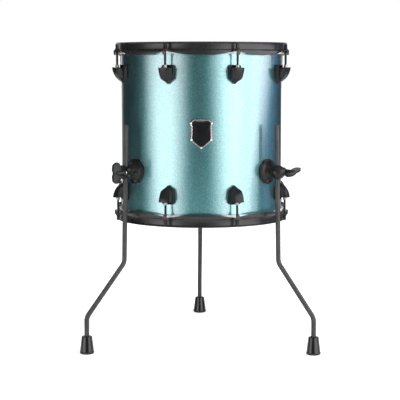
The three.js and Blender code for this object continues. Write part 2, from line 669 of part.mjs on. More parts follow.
// A hub with two paddles, with x = 0 at the pin of the bolt that carries it.
function wingNut() {
  const hubStart = BOLT_SEAT_REACH + BOLT_WASHER_THICKNESS + FIT_GAP;
  const hub = turnedAboutX([
    [hubStart, 0],
    [hubStart, WING_HUB_RADIUS],
    [hubStart + WING_HUB_LENGTH, WING_HUB_RADIUS - BOLT_RADIUS / 2],
    [hubStart + WING_HUB_LENGTH, 0],
  ], TUBE_SIDES);
  const start = hubStart + WING_START;
  const half = WING_SPAN / 2;
  const outlineShares = [
    [0, 0.6], [0.16, 0.94], [0.45, 1], [0.75, 0.9], [1, 0.5],
  ];
  const upper = outlineShares.map(([deep, out]) => [start + deep * WING_DEPTH, out * half]);
  const lower = upper.map(([x, z]) => [x, -z]).reverse();
  const paddles = plateAlongY([...upper, ...lower], -WING_THICKNESS / 2, WING_THICKNESS / 2);
  const bore = boreAlongX(0, hubStart + WING_HUB_LENGTH + CUT_OVERRUN, BOLT_RADIUS, SMALL_SIDES);
  return hub.add(paddles).subtract(bore);
}

// Legs, in a radial frame with z = 0 on the floor

// The leg's centreline as a chain of stations, close together only in the bends.
class LegLine extends THREE.Curve {
  constructor(stations) {
    super();
    this.stations = stations;
  }

  getPoint(share, target = new THREE.Vector3()) {
    const along = Math.min(Math.max(share, 0), 1) * (this.stations.length - 1);
    const index = Math.min(Math.floor(along), this.stations.length - 2);
    return target.lerpVectors(this.stations[index], this.stations[index + 1], along - index);
  }

  getUtoTmapping(share) {
    return share;
  }
}

// Rounds a corner between three points with an arc of the bend radius.
function bend(before, corner, after) {
  const toBefore = before.clone().sub(corner).normalize();
  const toAfter = after.clone().sub(corner).normalize();
  const halfAngle = toBefore.angleTo(toAfter) / 2;
  const tangentLength = LEG_BEND_RADIUS / Math.tan(halfAngle);
  const centre = toBefore.clone().add(toAfter).normalize()
    .multiplyScalar(LEG_BEND_RADIUS / Math.sin(halfAngle)).add(corner);
  const start = corner.clone().addScaledVector(toBefore, tangentLength).sub(centre);
  const end = corner.clone().addScaledVector(toAfter, tangentLength).sub(centre);
  const axis = start.clone().cross(end).normalize();
  const turn = start.angleTo(end);
  return Array.from({ length: BEND_STEPS + 1 }, (_, i) =>
    start.clone().applyAxisAngle(axis, turn * i / BEND_STEPS).add(centre));
}

function legOffsetAt(height) {
  return legAxisRadius + (clampHeight - height) * Math.tan(THREE.MathUtils.degToRad(LEG_SPLAY_DEG));
}

// Where the foot stands, for a leg that is turned in its clamp away from the radial plane.
function footPlace(turnDeg) {
  const turn = THREE.MathUtils.degToRad(turnDeg);
  const knee = legOffsetAt(LEG_UPPER_BEND_HEIGHT);
  return [knee + LEG_FOOT_OFFSET * Math.cos(turn), LEG_FOOT_OFFSET * Math.sin(turn)];
}

function leg(turnDeg) {
  const topHeight = clampHeight + LEG_TOP_RISE;
  const [footX, footY] = footPlace(turnDeg);
  const top = new THREE.Vector3(legOffsetAt(topHeight), 0, topHeight);
  const knee = new THREE.Vector3(legOffsetAt(LEG_UPPER_BEND_HEIGHT), 0, LEG_UPPER_BEND_HEIGHT);
  const ankle = new THREE.Vector3(footX, footY, LEG_LOWER_BEND_HEIGHT);
  const end = new THREE.Vector3(footX, footY, LEG_END_HEIGHT);
  const stations = [top, ...bend(top, knee, ankle), ...bend(knee, ankle, end), end];
  const section = new THREE.Shape();
  section.absarc(0, 0, LEG_RADIUS, 0, 2 * Math.PI);
  return solid(new THREE.ExtrudeGeometry(section, {
    extrudePath: new LegLine(stations),
    steps: stations.length - 1,
    curveSegments: TUBE_SIDES / 2,
  }));
}

function rubberFoot() {
  const foot = turned([
    [0, 0],
    [FOOT_RADIUS - FOOT_EDGE_CUT, 0],
    [FOOT_RADIUS, FOOT_EDGE_CUT],
    [FOOT_RADIUS, FOOT_HEEL_HEIGHT],
    [FOOT_TOP_RADIUS, FOOT_HEIGHT - FOOT_EDGE_CUT],
    [FOOT_TOP_RADIUS - FOOT_EDGE_CUT, FOOT_HEIGHT],
    [0, FOOT_HEIGHT],
  ], ROUND_SIDES);
  const socket = boreAlongZ(LEG_END_HEIGHT - FIT_GAP, FOOT_HEIGHT + CUT_OVERRUN, LEG_RADIUS, TUBE_SIDES);
  return foot.subtract(socket);
}

// Assembly

const legSites = [
  { place: 'front_left', azimuth: -FRONT_BRACKET_AZIMUTH_DEG, turn: LEFT_LEG_TURN_DEG, wingTurn: 0 },
  {
    place: 'front_right',
    azimuth: FRONT_BRACKET_AZIMUTH_DEG,
    turn: RIGHT_LEG_TURN_DEG,
    wingTurn: RIGHT_WING_TURN_DEG,
  },
  { place: 'rear', azimuth: REAR_BRACKET_AZIMUTH_DEG, turn: 0, wingTurn: REAR_WING_TURN_DEG },
];

function radialGroup(azimuthDeg, height) {
  const group = new THREE.Group();
  group.rotation.z = radialTurn(azimuthDeg);
  group.position.z = height;
  return group;
}

// One end of the drum: its head, hoop, lugs and rods, about the plane of the bearing edge.
function drumEnd(end, headName, hoopName) {
  const group = new THREE.Group();
  group.add(named(headName, head(), film));
  group.add(named(hoopName, hoop(), blackMetal));
  const rodBody = tensionRod();
  lugAzimuths().forEach((azimuth, i) => {
    const site = radialGroup(azimuth, 0);
    site.add(named(`lug_${end}_${i + 1}`, lug(azimuth), blackMetal));
    const rod = named(`tension_rod_${end}_${i + 1}`, rodBody, blackMetal);
    rod.position.x = rodCircleRadius;
    site.add(rod);
    group.add(site);
  });
  return group;
}

function legAssembly(site) {
  const group = radialGroup(site.azimuth, 0);
  const clamp = new THREE.Group();
  clamp.position.z = clampHeight;
  clamp.add(named(`bracket_gasket_${site.place}`, gasket(site.azimuth), rubber));
  clamp.add(named(`leg_bracket_${site.place}`, legBracket(), blackMetal));
  clamp.add(named(`clamp_jaw_${site.place}`, clampJaw(), blackMetal));
  const swing = new THREE.Group();
  swing.position.set(boltPinRadius, SWING_PIN_OFFSET, 0);
  swing.add(named(`swing_bolt_${site.place}`, swingBolt(), blackMetal));
  const nut = named(`wing_nut_${site.place}`, wingNut(), blackMetal);
  nut.rotation.x = THREE.MathUtils.degToRad(site.wingTurn);
  swing.add(nut);
  clamp.add(swing);
  group.add(clamp);
  group.add(named(`leg_${site.place}`, leg(site.turn), blackTube));
  const foot = named(`rubber_foot_${site.place}`, rubberFoot(), rubber);
  foot.position.set(...footPlace(site.turn), 0);
  group.add(foot);
  return group;
}

const floorTom = new THREE.Group();
const shellMesh = named('shell', shell(legSites), sparkleLacquer);
shellMesh.position.z = midHeight;
floorTom.add(shellMesh);

const badgeSite = radialGroup(0, midHeight + BADGE_CENTRE_RISE);
badgeSite.add(named('badge', badge(), blackMetal));
floorTom.add(badgeSite);

const ventSite = radialGroup(VENT_AZIMUTH_DEG, midHeight);
ventSite.add(named('vent_grommet', ventGrommet(), brightSteel));
floorTom.add(ventSite);

const upperEnd = drumEnd('top', 'batter_head', 'batter_hoop');
upperEnd.position.z = midHeight + SHELL_DEPTH / 2;
floorTom.add(upperEnd);

const lowerEnd = drumEnd('bottom', 'resonant_head', 'resonant_hoop');
lowerEnd.rotation.x = Math.PI;
lowerEnd.position.z = midHeight - SHELL_DEPTH / 2;
floorTom.add(lowerEnd);

for (const site of legSites) floorTom.add(legAssembly(site));

// The origin lies on the floor under the middle of the whole drum and its legs.
floorTom.updateMatrixWorld(true);
const extent = new THREE.Box3().setFromObject(floorTom, true);
floorTom.position.x = -(extent.min.x + extent.max.x) / 2;
floorTom.position.y = -(extent.min.y + extent.max.y) / 2;

export default floorTom;
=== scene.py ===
import math

import bmesh
import bpy
from mathutils import Matrix, Vector


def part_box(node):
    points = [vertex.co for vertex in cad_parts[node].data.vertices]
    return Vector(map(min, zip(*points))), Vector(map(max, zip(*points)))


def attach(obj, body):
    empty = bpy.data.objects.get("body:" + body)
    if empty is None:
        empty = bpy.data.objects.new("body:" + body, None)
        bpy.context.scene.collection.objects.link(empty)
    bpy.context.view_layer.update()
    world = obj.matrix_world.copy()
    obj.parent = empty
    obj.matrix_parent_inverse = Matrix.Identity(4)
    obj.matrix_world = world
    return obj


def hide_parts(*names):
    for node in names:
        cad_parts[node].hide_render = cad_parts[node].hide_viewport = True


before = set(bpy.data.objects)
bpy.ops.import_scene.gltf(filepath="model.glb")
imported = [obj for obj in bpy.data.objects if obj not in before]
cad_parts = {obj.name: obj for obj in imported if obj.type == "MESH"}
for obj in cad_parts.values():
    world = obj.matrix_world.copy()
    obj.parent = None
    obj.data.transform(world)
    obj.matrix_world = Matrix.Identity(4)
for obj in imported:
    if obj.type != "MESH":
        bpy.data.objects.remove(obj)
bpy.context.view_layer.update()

# Lengths are in millimetres until a mesh is finished, and MM turns them into metres.
MM = 0.001
FIT_GAP = 0.3

# How finely round things are divided, and the angle in degrees from which an edge looks sharp
HOOP_SIDES = 384
SHELL_SIDES = 256
HEAD_SIDES = 192
FLANGE_SIDES = 96
FOOT_SIDES = 72
HUB_SIDES = 48
TUBE_SIDES = 40
RING_SIDES = 32
PIN_SIDES = 24
SMOOTH_ANGLE = 35
CASTING_ANGLE = 32
BADGE_ANGLE = 25

# Drum
SHELL_RADIUS = 177.8
SHELL_WALL = 7.2
SHELL_DEPTH = 355.6
BEARING_SETBACK = 2.5
BEARING_ROUND = 0.8
INNER_RADIUS = SHELL_RADIUS - SHELL_WALL
PEAK_RADIUS = SHELL_RADIUS - BEARING_SETBACK
SEAT_GAP = 0.1

# Profiles of turned pieces list the radius, the place along the axis and, where corners are rounded, the round.
# Outlines list the two places of a corner and its round.

# Vent
VENT_AZIMUTH = 135
VENT_HOLE = 7.1
VENT_PROFILE = [
    (6, 169.1, 0.4), (6, 179.3, 0.9), (10.8, 179.3, 0.8), (10.8, 178.1, 0.1), (6.8, 178.1, 0), (6.8, 170.3, 0),
    (8.8, 170.3, 0.1), (8.8, 169.1, 0.5)]
DRILL_START = 150
DRILL_END = 200

# Heads
FILM_UNDER = [(0, 0.3), (60, 0.3), (120, 0.3), (175.3, 0.3), (178.9, -1.8)]
FILM_TOP = [
    (178.9, -1.8, 0), (180.25, -2, 0.2), (175.6, 0.65, 1.5), (120, 0.65, 0), (60, 0.65, 0), (0, 0.65, 0)]
FLESH_RING = [
    (178.9, -2.4, 0.6), (184.3, -2.4, 1.0), (184.3, -7.6, 0.9), (182.9, -7.6, 0.4), (182.9, -6, 0.3),
    (180.3, -6, 0.3), (180.3, -7.6, 0.4), (178.9, -7.6, 0.6)]

# Hoops and their ears
HOOP_STEEL = 2.3
FLANGE_UNDER = -2.1
FLANGE_TOP = 0.2
SKIRT_BOTTOM = -10.1
HOOP_PROFILE = [
    (180.8, 17, 1.8), (180.8, FLANGE_UNDER, 0.6), (186.4, FLANGE_UNDER, 0.8), (186.4, SKIRT_BOTTOM, 0.5),
    (188.7, SKIRT_BOTTOM, 0.6), (187.7, FLANGE_TOP, 1.7), (183.1, FLANGE_TOP, 1.6), (183.1, 14.4, 1.6),
    (189, 14.4, 1.1), (189, 17, 1.3)]
SCALLOP_RISE = 7.8
SCALLOP_HALF_ANGLE = 15.5
SCALLOP_POWER = 1.6
EAR_TIP_RADIUS = 203.6
EAR_OUTLINE = [(184.1, -10.5, 0), (188.2, -10.5, 0.8), (EAR_TIP_RADIUS, -4.5, 3.0)]
LIP_OUTLINE = [(-4.9, -0.4, 0), (-3.5, -7.6, 2.0), (-2.7, SKIRT_BOTTOM, 1.6)]
EAR_BEVEL = 0.6

# Lugs
LUG_COUNT = 8
LUG_STEP = 45
FIRST_LUG_AZIMUTH = 22.5
LUG_TOP = -31.5
LUG_SHOULDER_TOP = -36.4
LUG_TIP = -71.2
LUG_HALF_WIDTH = 13.4
LUG_SHOULDER_HALF = 12
LUG_SHOULDER_HEIGHT = 10.7
LUG_REACH = 29.2
LUG_ROWS = 14
LUG_SWEEP = 0.985
LUG_CURVE_POWER = 1.75
LUG_CREASE = 2.6
LUG_CREASE_POWER = 1.1
LUG_RIDGE_SHARES = (1.0, 0.66, 0.33)
LUG_BULGE = 0.5
LUG_BULGE_REACH = 10
LUG_GABLE = 0.7
LUG_GABLE_LENGTH = 18
LUG_CHEEK_SHARE = 0.96
LUG_BASE = 8
LUG_FOOT = 1.0
LUG_GROOVE = 1.5
LUG_GROOVE_START = 1.6
LUG_GROOVE_END = 2.6
LUG_FLANK_INSET = 0.3
LUG_BEVEL = 0.9
BROW_OUTLINE = [
    (-13, -42.4, 0), (13, -42.4, 0), (13, -34.5, 1.5), (9.8, LUG_TOP, 1.5), (-9.8, LUG_TOP, 1.5),
    (-13, -34.5, 1.5)]
BROW_DEPTH = 8
BROW_SINK = 0.6
BROW_BEVEL = 1.6
BASE_OUTLINE = [(0, -71.7, 1.2), (12.5, -60.5, 1.2), (13.9, -34, 1.5), (10.9, -31, 1.5)]
NUT_PROFILE = [
    (0, -42.4, 0), (3.8, -42.4, 0), (3.8, -30.8, 0.7), (2.7, -30.8, 0.3), (2.7, -32.8, 0), (0, -32.8, 0)]

# Tension rods
ROD_CIRCLE = 197
ROD_RADIUS = 2.5
ROD_TIP_RADIUS = 1.7
ROD_LENGTH = 50
ROD_TOP = 0.7
ROD_WASHER = [(2.1, FLANGE_TOP, 0), (6, FLANGE_TOP, 0.35), (6, 1.5, 0.35), (2.1, 1.5, 0)]
ROD_BOSS = [(0, 1.3, 0), (4.6, 1.5, 0.3), (4.6, 3.3, 0.8), (3.6, 4.1, 0.4), (0, 4.1, 0)]
ROD_HEAD_HALF = 2.9
ROD_HEAD_LOW = 3.1
ROD_HEAD_HIGH = 13.3
ROD_HEAD_BEVEL = 0.7
THREAD_PITCH = 0.8
THREAD_ROOT = 2.05
THREAD_END = 26
THREAD_RUNOUT = 0.5

# Badge. A level is a step of its face: inset from the outline, height and material slot.
BADGE_HALF_WIDTH = 26
BADGE_HALF_HEIGHT = 32.25
BADGE_RISE = 2
BADGE_SHARES = [(0, -1), (0.92, -0.4), (0.87, 0.1), (0.87, 0.5), (1, 0.76), (0.62, 1)]
BADGE_LEVELS = [
    (0, 0, 1), (0, 1.3, 1), (0.8, 1.5, 0), (1.1, 2.6, 0), (1.9, 3.5, 0), (2.9, 3.5, 0), (3.7, 2.4, 1),
    (4.2, 1.8, 1)]
BADGE_SPLITS = 8
STUD_SHARES = [(0.84, 0.72), (-0.84, 0.72), (0.79, -0.36), (-0.79, -0.36), (0, -0.87)]
STUD_HEIGHT = 2.6
STUD_SIZE = (1.5, 2.3, 2.3)

# Clamps
CLAMP_HEIGHT = 385.3
FRONT_AZIMUTH = 52.5
REAR_AZIMUTH = 180.8
LEG_AXIS = 205
NECK_END = 203.2
BRACKET_PROFILE = [
    (0, 180, 0), (27.4, 180, 0.3), (27.4, 182.6, 0.9), (24.6, 182.9, 0.5), (24, 182.2, 0.5), (19, 186.5, 5),
    (16.1, 193, 3), (15.5, 195, 2), (15.5, NECK_END, 0.8), (0, NECK_END, 0)]
GASKET_PROFILE = [
    (0, SHELL_RADIUS), (18.7, SHELL_RADIUS), (27.7, SHELL_RADIUS), (27.7, 179.2), (27.2, 179.7), (0, 179.7)]
FORK_SLOT = 6.6
FORK_REACH = 20
BOLT_PIN = (198.5, 14)
HINGE_PIN = (198.8, -12.5)
PIN_RADIUS = 1.6
PIN_OVERHANG = 0.6
HINGE_ROOM = 4.5
BOLT_ROOM = 5.8
CUT_REACH = 40
JAW_FACE = 206.8
JAW_SIZE = (19, 15.5, 15.5)
JAW_CENTRE = (LEG_AXIS + 2, -3, 0)
JAW_REACH = 60
NOSE_RADIUS = 15.7
NOSE_HALF = 9
NOSE_HALF_WIDTH = 8
EYE_HALF = 2.9
KNUCKLE_RADIUS = 4.2
BOLT_SLOT_HALF = 3.3
COUNTERBORE_RADIUS = 8.4
COUNTERBORE_END = 46

# Swing bolts and wing nuts, measured out from the bolt's pin
BOLT_EYE = [(1.9, -EYE_HALF, 0.4), (5.5, -EYE_HALF, 0.6), (5.5, EYE_HALF, 0.6), (1.9, EYE_HALF, 0.4)]
BOLT_SHANK = [(2.2, 4.6), (2.9, 5.4), (2.9, 15)]
BOLT_CREST = 3.0
BOLT_ROOT = 2.5
BOLT_PITCH = 1.0
BOLT_THREAD_START = 15.5
BOLT_THREAD_END = 45.3
BOLT_TIP = [(2.2, 46), (0, 46)]
BOLT_WASHER = [(3.1, 16, 0), (5.6, 16, 0.3), (5.6, 17.8, 0.4), (3.1, 17.8, 0)]
HUB_PROFILE = [
    (3.4, 18.1, 0.2), (6.4, 18.1, 0.6), (6.2, 24.1, 2), (5.6, 30.1, 2), (4.9, 40.1, 1.2), (3.4, 40.1, 0.3)]
WING_START = 28.1
WING_DEPTH = 20
WING_HALF_SPAN = 22
WING_HALF_THICKNESS = 2.6
WING_BEVEL = 1.6
# Shares of the wing's depth and half span, and the round of each corner
WING_CORNERS = [
    (0.0, 0.14, 0.0), (0.0, 0.62, 4.0), (0.16, 0.97, 5.0), (0.6, 1.0, 6.0), (0.95, 0.78, 6.0), (1.0, 0.3, 3.0),
    (0.9, 0.1, 1.2)]

# Legs and feet
LEG_RADIUS = 5
PLATED_RADIUS = 5.25
LEG_SPLAY = 1.2
LEG_TOP_RISE = 100.5
KNEE_HEIGHT = 190
ANKLE_HEIGHT = 78.5
LEG_BEND = 24
LEG_BEND_STEPS = 12
LEG_END = 6
LEG_ROOM_HALF = 60
FOOT_PROFILE = [
    (0, 0, 0), (13.7, 0, 1.0), (15.7, 1.6, 1.4), (15.7, 4.6, 0.3), (15.2, 5.2, 0.2), (11.2, 37, 1.0),
    (9.8, 38.5, 0.9), (5.3, 38.5, 0.4), (5.3, 5.7, 0), (0, 5.7, 0)]
FOOT_NUB = 1.2
FOOT_NUB_PLACE = (0, 15.1, 6)

# The name, azimuth and turn of the wing of each leg
LEG_SITES = [
    ("front_left", -FRONT_AZIMUTH, 0), ("front_right", FRONT_AZIMUTH, -72), ("rear", REAR_AZIMUTH, 30)]

# The depth of the finishes' fine grain in metres, and the scale of their mottled colour
GRAIN_DEPTH = 0.0002
MOTTLE_SCALE = 38

# Camera
CAMERA_DISTANCE = 2.9
CAMERA_HEIGHT = 0.617
CAMERA_SIDE = 0.00025
CAMERA_PITCH = 6.003
CAMERA_LENS = 117.0
CAMERA_SENSOR = 36
CAMERA_SHIFT = -0.0037
CAMERA_CLIP = (0.1, 100)

# The floor glows by itself to white, and less so near the drum, where its shadow stays
FLOOR_SIZE = 30
FLOOR_COLOUR = (0.7, 0.7, 0.7, 1)
FLOOR_GLOW_NEAR = 0.66
FLOOR_GLOW_FAR = 1.0
FLOOR_NEAR = 0.3
FLOOR_FAR = 0.48

# The world fills the shadows, and is white behind the drum
WORLD_FILL_COLOUR = (0.95, 0.97, 1.0, 1)
WORLD_FILL = 0.35
WHITE = (1, 1, 1, 1)

# A ring of light round the drum, in metres. Each softbox fades in and out between azimuths, in degrees.
# Its edges lean by so many degrees for each metre over LEAN_HEIGHT.
WALL_RADIUS = 1.5
WALL_HIGH = 1.7
WALL_STEPS = 240
WALL_ROWS = 34
WALL_DIM = (0.03, 0.035, 0.04)
LEAN_HEIGHT = 0.5
LEAN_REACH = 0.35
BOX_TOP_FADE = 0.1
SOFTBOXES = [
    # azimuths (fade in from, full from, full to, fade out to), leans of both edges, height of the top, light
    ((-88, -57, -42, -11), (-9, 5), 0.76, (3.9, 3.7, 3.7)),
    ((6, 40, 66, 88), (-5, 38), 1.7, (4.1, 4.1, 4.1)),
    ((66, 88, 78, 114), (38, 62), 0.9, (3.35, 2.75, 3.0)),
    ((85, 105, 105, 145), (20, 20), 0.9, (0.04, 0.09, 0.28)),
    ((50, 62, 65, 76), (0, 20), 1.7, (-0.7, -0.6, -0.6)),
    ((-200, -181, -166, -140), (0, 0), 1.7, (1.0, 1.0, 1.0)),
    ((148, 176, 181, 200), (0, 0), 1.7, (1.0, 1.0, 1.0)),
]
CEILING_SIDES = 64
CEILING_GLOW = 0.12

# The lamp over the drum
TOP_BOX_HEIGHT = 2.4
TOP_BOX_DISTANCE = 1.0
TOP_BOX_WIDTH = 1.2
TOP_BOX_LENGTH = 1.0
TOP_BOX_POWER = 12

shell_low, shell_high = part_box("shell")
AXIS_X = (shell_low.x + shell_high.x) / 2
AXIS_Y = (shell_low.y + shell_high.y) / 2
MID_HEIGHT = (shell_low.z + shell_high.z) / 2


# Frames: in a radial frame +X points out of the drum, +Y round it and +Z up

def radial(azimuth, height):
    return Matrix.Translation((AXIS_X, AXIS_Y, height)) @ Matrix.Rotation(math.radians(azimuth - 90), 4, "Z")


def end_frame(end, azimuth):
    """The radial frame of one end of the shell, upside down at the lower end."""
    half = SHELL_DEPTH / 2 * MM
    turn = Matrix.Rotation(math.radians(azimuth - 90), 4, "Z")
    if end == "top":
        return Matrix.Translation((AXIS_X, AXIS_Y, MID_HEIGHT + half)) @ turn
    flip = Matrix.Rotation(math.pi, 4, "X")
    return Matrix.Translation((AXIS_X, AXIS_Y, MID_HEIGHT - half)) @ flip @ turn


# Shapes

def arc(centre, start, stop, steps):
    """Points round a centre, from the end of one arm to the end of the other."""
    sweep = start.angle(stop)
    points = []
    for step in range(steps + 1):
        share = step / steps
        arm = (start * math.sin((1 - share) * sweep) + stop * math.sin(share * sweep)) / math.sin(sweep)
        points.append(centre + arm)
    return points


def rounded(corners, closed=True, steps=4):
    """The path through (across, up, radius) corners, each rounded by its radius."""
    path = []
    count = len(corners)
    for index, (across, up, radius) in enumerate(corners):
        here = Vector((across, up))
        if radius <= 0 or (not closed and index in (0, count - 1)):
            path.append((across, up))
            continue
        before = Vector(corners[index - 1][:2]) - here
        after = Vector(corners[(index + 1) % count][:2]) - here
        towards, onward = before.normalized(), after.normalized()
        half = towards.angle(onward) / 2
        reach = min(radius / math.tan(half), before.length * 0.48, after.length * 0.48)
        centre = here + (towards + onward).normalized() * (reach / math.cos(half))
        start = here + towards * reach - centre
        stop = here + onward * reach - centre
        path += [tuple(point) for point in arc(centre, start, stop, steps)]
    return path


def mirrored(points):
    """The points and their mirror images, where the second figure changes sign."""
    return points + [(first, -second, turn) for first, second, turn in reversed(points)]


def thread(start, stop, pitch, crest, root):
    """The (radius, height) pairs of a thread."""
    pairs = []
    while start < stop:
        pairs += [(crest, start), (root, start + pitch / 2)]
        start += pitch
    return pairs


def place(point, along):
    """A (first, second, depth) point with its depth along the named axis."""
    first, second, depth = point
    return {"X": (depth, first, second), "Y": (first, depth, second), "Z": (first, second, depth)}[along]


def add_lathe(bm, profile, sides, closed=True, along="Z", slot=0):
    """A body of revolution from (radius, height) pairs."""
    rings = []
    for radius, height in profile:
        if radius < 1e-6:
            rings.append([bm.verts.new(place((0, 0, height), along))])
            continue
        angles = [2 * math.pi * i / sides for i in range(sides)]
        rings.append([
            bm.verts.new(place((radius * math.cos(a), radius * math.sin(a), height), along)) for a in angles])
    pairs = list(zip(rings, rings[1:]))
    if closed:
        pairs.append((rings[-1], rings[0]))
    for low, high in pairs:
        for i in range(sides):
            j = (i + 1) % sides
            corners = [low[i % len(low)], low[j % len(low)], high[j % len(high)], high[i % len(high)]]
            unique = [v for k, v in enumerate(corners) if v not in corners[:k]]
            if len(unique) > 2:
                bm.faces.new(unique).material_index = slot
    return rings


def add_prism(bm, outline, low, high, along="X"):
    """A flat outline drawn out along an axis."""
    near = [bm.verts.new(place((a, b, low), along)) for a, b in outline]
    far = [bm.verts.new(place((a, b, high), along)) for a, b in outline]
    bm.faces.new(near)
    bm.faces.new(far)
    for i in range(len(near)):
        j = (i + 1) % len(near)
        bm.faces.new([near[i], near[j], far[j], far[i]])


def add_tube(bm, path, radius, sides, cap=0.8):
    """A round tube along a path of points, with its ends edged by a small round."""
    points = [Vector(p) for p in path]
    radii = [radius] * len(points)
    for _ in range(2):
        first = points[0]
        step = (points[1] - first).normalized()
        points[0:1] = [first, first + step * cap * 0.3, first + step * cap]
        radii[0:1] = [radius - cap, radius - cap * 0.3, radius]
        points.reverse()
        radii.reverse()
    side = None
    rings = []
    for index, point in enumerate(points):
        ahead = points[min(index + 1, len(points) - 1)] - points[max(index - 1, 0)]
        ahead.normalize()
        side = ahead.orthogonal() if side is None else side - ahead * side.dot(ahead)
        side.normalize()
        other = ahead.cross(side)
        ring = []
        for k in range(sides):
            angle = 2 * math.pi * k / sides
            ring.append(bm.verts.new(point + (side * math.cos(angle) + other * math.sin(angle)) * radii[index]))
        rings.append(ring)
    for low, high in zip(rings, rings[1:]):
        for k in range(sides):
            j = (k + 1) % sides
            bm.faces.new([low[k], low[j], high[j], high[k]])
    bm.faces.new(rings[0])
    bm.faces.new(rings[-1])


def bevel_sharp(bm, width, segments, angle=28, keep=None):
    """Bevels the edges sharper than an angle in degrees, or those of them that keep() accepts."""
    bm.normal_update()
    edges = [
        e for e in bm.edges
        if len(e.link_faces) == 2 and e.calc_face_angle(0) > math.radians(angle) and (keep is None or keep(e))]
    bmesh.ops.bevel(
        bm, geom=edges, offset=width, segments=segments, profile=0.5, affect="EDGES", clamp_overlap=True)


def shaded(mesh, angle=SMOOTH_ANGLE):
    """The mesh, smooth apart from edges sharper than an angle in degrees."""
    mesh.shade_smooth()
    mesh.set_sharp_from_angle(angle=math.radians(angle))
    return mesh


def finished(bm, name, materials, angle=SMOOTH_ANGLE):
    """Turns a working mesh in millimetres into a smooth-shaded mesh in metres."""
    bmesh.ops.recalc_face_normals(bm, faces=bm.faces)
    bmesh.ops.scale(bm, vec=(MM, MM, MM), verts=bm.verts)
    mesh = bpy.data.meshes.new(name)
    bm.to_mesh(mesh)
    bm.free()
    for material in materials:
        mesh.materials.append(material)
    return shaded(mesh, angle)


def merged(first, *others):
    """The first mesh with the faces of the others added to it."""
    whole = bmesh.new()
    for mesh in (first, *others):
        whole.from_mesh(mesh)
    whole.to_mesh(first)
    whole.free()
    return first


def linked(name, data):
    """A new object in the scene."""
    made = bpy.data.objects.new(name, data)
    bpy.context.collection.objects.link(made)
    return made


def stand(name, mesh, matrix, body, slot, *nodes):
    """Sets a piece in place on its body, for the CAD nodes that it stands for."""
    piece = linked(name, mesh)
    piece.matrix_world = matrix
    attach(piece, body)
    if nodes:
        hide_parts(*nodes)


def baked(mesh, matrix):
    """A copy of the mesh with its place written into its points."""
    copy = mesh.copy()
    copy.transform(matrix)
    return copy


def carved(mesh, *tools):
    """The mesh after each (mesh, operation) tool has been joined to it or cut from it."""
    body = linked("work", mesh)
    helpers = []
    for tool, operation in tools:
        helper = linked("tool", tool)
        helpers.append(helper)
        cut = body.modifiers.new("cut", "BOOLEAN")
        cut.operation = operation
        cut.solver = "EXACT"
        cut.object = helper
    bpy.context.view_layer.update()
    graph = bpy.context.evaluated_depsgraph_get()
    result = bpy.data.meshes.new_from_object(body.evaluated_get(graph))
    for thing in [body, *helpers]:
        bpy.data.objects.remove(thing)
    return result


def softened(mesh, name, width, segments):
    """Rounds the sharp edges of a carved mesh a little and shades it smooth."""
    bm = bmesh.new()
    bm.from_mesh(mesh)
    bmesh.ops.remove_doubles(bm, verts=bm.verts, dist=0.00002)
    bmesh.ops.dissolve_limit(bm, angle_limit=math.radians(0.5), verts=bm.verts, edges=bm.edges)
    bevel_sharp(bm, width * MM, segments, CASTING_ANGLE)
    bm.to_mesh(mesh)
    bm.free()
    mesh.name = name
    return shaded(mesh, CASTING_ANGLE)


def lay_on_shell(verts):
    """Bends the back of a piece to the round of the shell."""
    for vert in verts:
        vert.co.x = math.sqrt((SHELL_RADIUS + SEAT_GAP) ** 2 - vert.co.y ** 2)


def off_shell(edge):
    return min(vert.co.x for vert in edge.verts) > SHELL_RADIUS + 1


# Materials

def set_inputs(made, **values):
    for key, value in values.items():
        made.inputs[key.replace("_", " ")].default_value = value


def node(tree, kind, **values):
    """A new shader node. A value with a capital goes to the input of that name, any other to the node itself."""
    made = tree.nodes.new(kind)
    set_inputs(made, **{key: value for key, value in values.items() if key[0].isupper()})
    for key, value in values.items():
        if not key[0].isupper():
            setattr(made, key, value)
    return made


def start_material(name, base, roughness, metallic):
    material = bpy.data.materials.new(name)
    material.use_nodes = True
    tree = material.node_tree
    shader = tree.nodes["Principled BSDF"]
    set_inputs(shader, Base_Color=(*base, 1), Roughness=roughness, Metallic=metallic)
    material.diffuse_color = (*base, 1)
    where = node(tree, "ShaderNodeTexCoord")
    return material, tree, shader, where.outputs["Object"]


def noise_of(tree, where, scale, detail, stretch=None, roughness=0.55):
    if stretch:
        mapping = node(tree, "ShaderNodeMapping", Scale=stretch)
        tree.links.new(where, mapping.inputs["Vector"])
        where = mapping.outputs["Vector"]
    texture = node(tree, "ShaderNodeTexNoise", Scale=scale, Detail=detail, Roughness=roughness)
    tree.links.new(where, texture.inputs["Vector"])
    return texture.outputs["Fac"]


def spread(tree, value, low, high, source_low=0.3, source_high=0.7):
    """Maps a value between the source's ends to the range from low to high."""
    mapped = node(
        tree, "ShaderNodeMapRange", From_Min=source_low, From_Max=source_high, To_Min=low, To_Max=high)
    tree.links.new(value, mapped.inputs["Value"])
    return mapped.outputs["Result"]


def mixed(tree, factor, first, second):
    """A colour between two colours, or two colour outputs."""
    mix = node(tree, "ShaderNodeMix", data_type="RGBA")
    for index, colour in ((6, first), (7, second)):
        if isinstance(colour, tuple):
            mix.inputs[index].default_value = (*colour, 1)
        else:
            tree.links.new(colour, mix.inputs[index])
    tree.links.new(factor, mix.inputs[0])
    return mix.outputs[2]


def bumped(tree, shader, height, strength, distance, socket="Normal"):
    bump = node(tree, "ShaderNodeBump", Strength=strength, Distance=distance)
    tree.links.new(height, bump.inputs["Height"])
    tree.links.new(bump.outputs["Normal"], shader.inputs[socket])


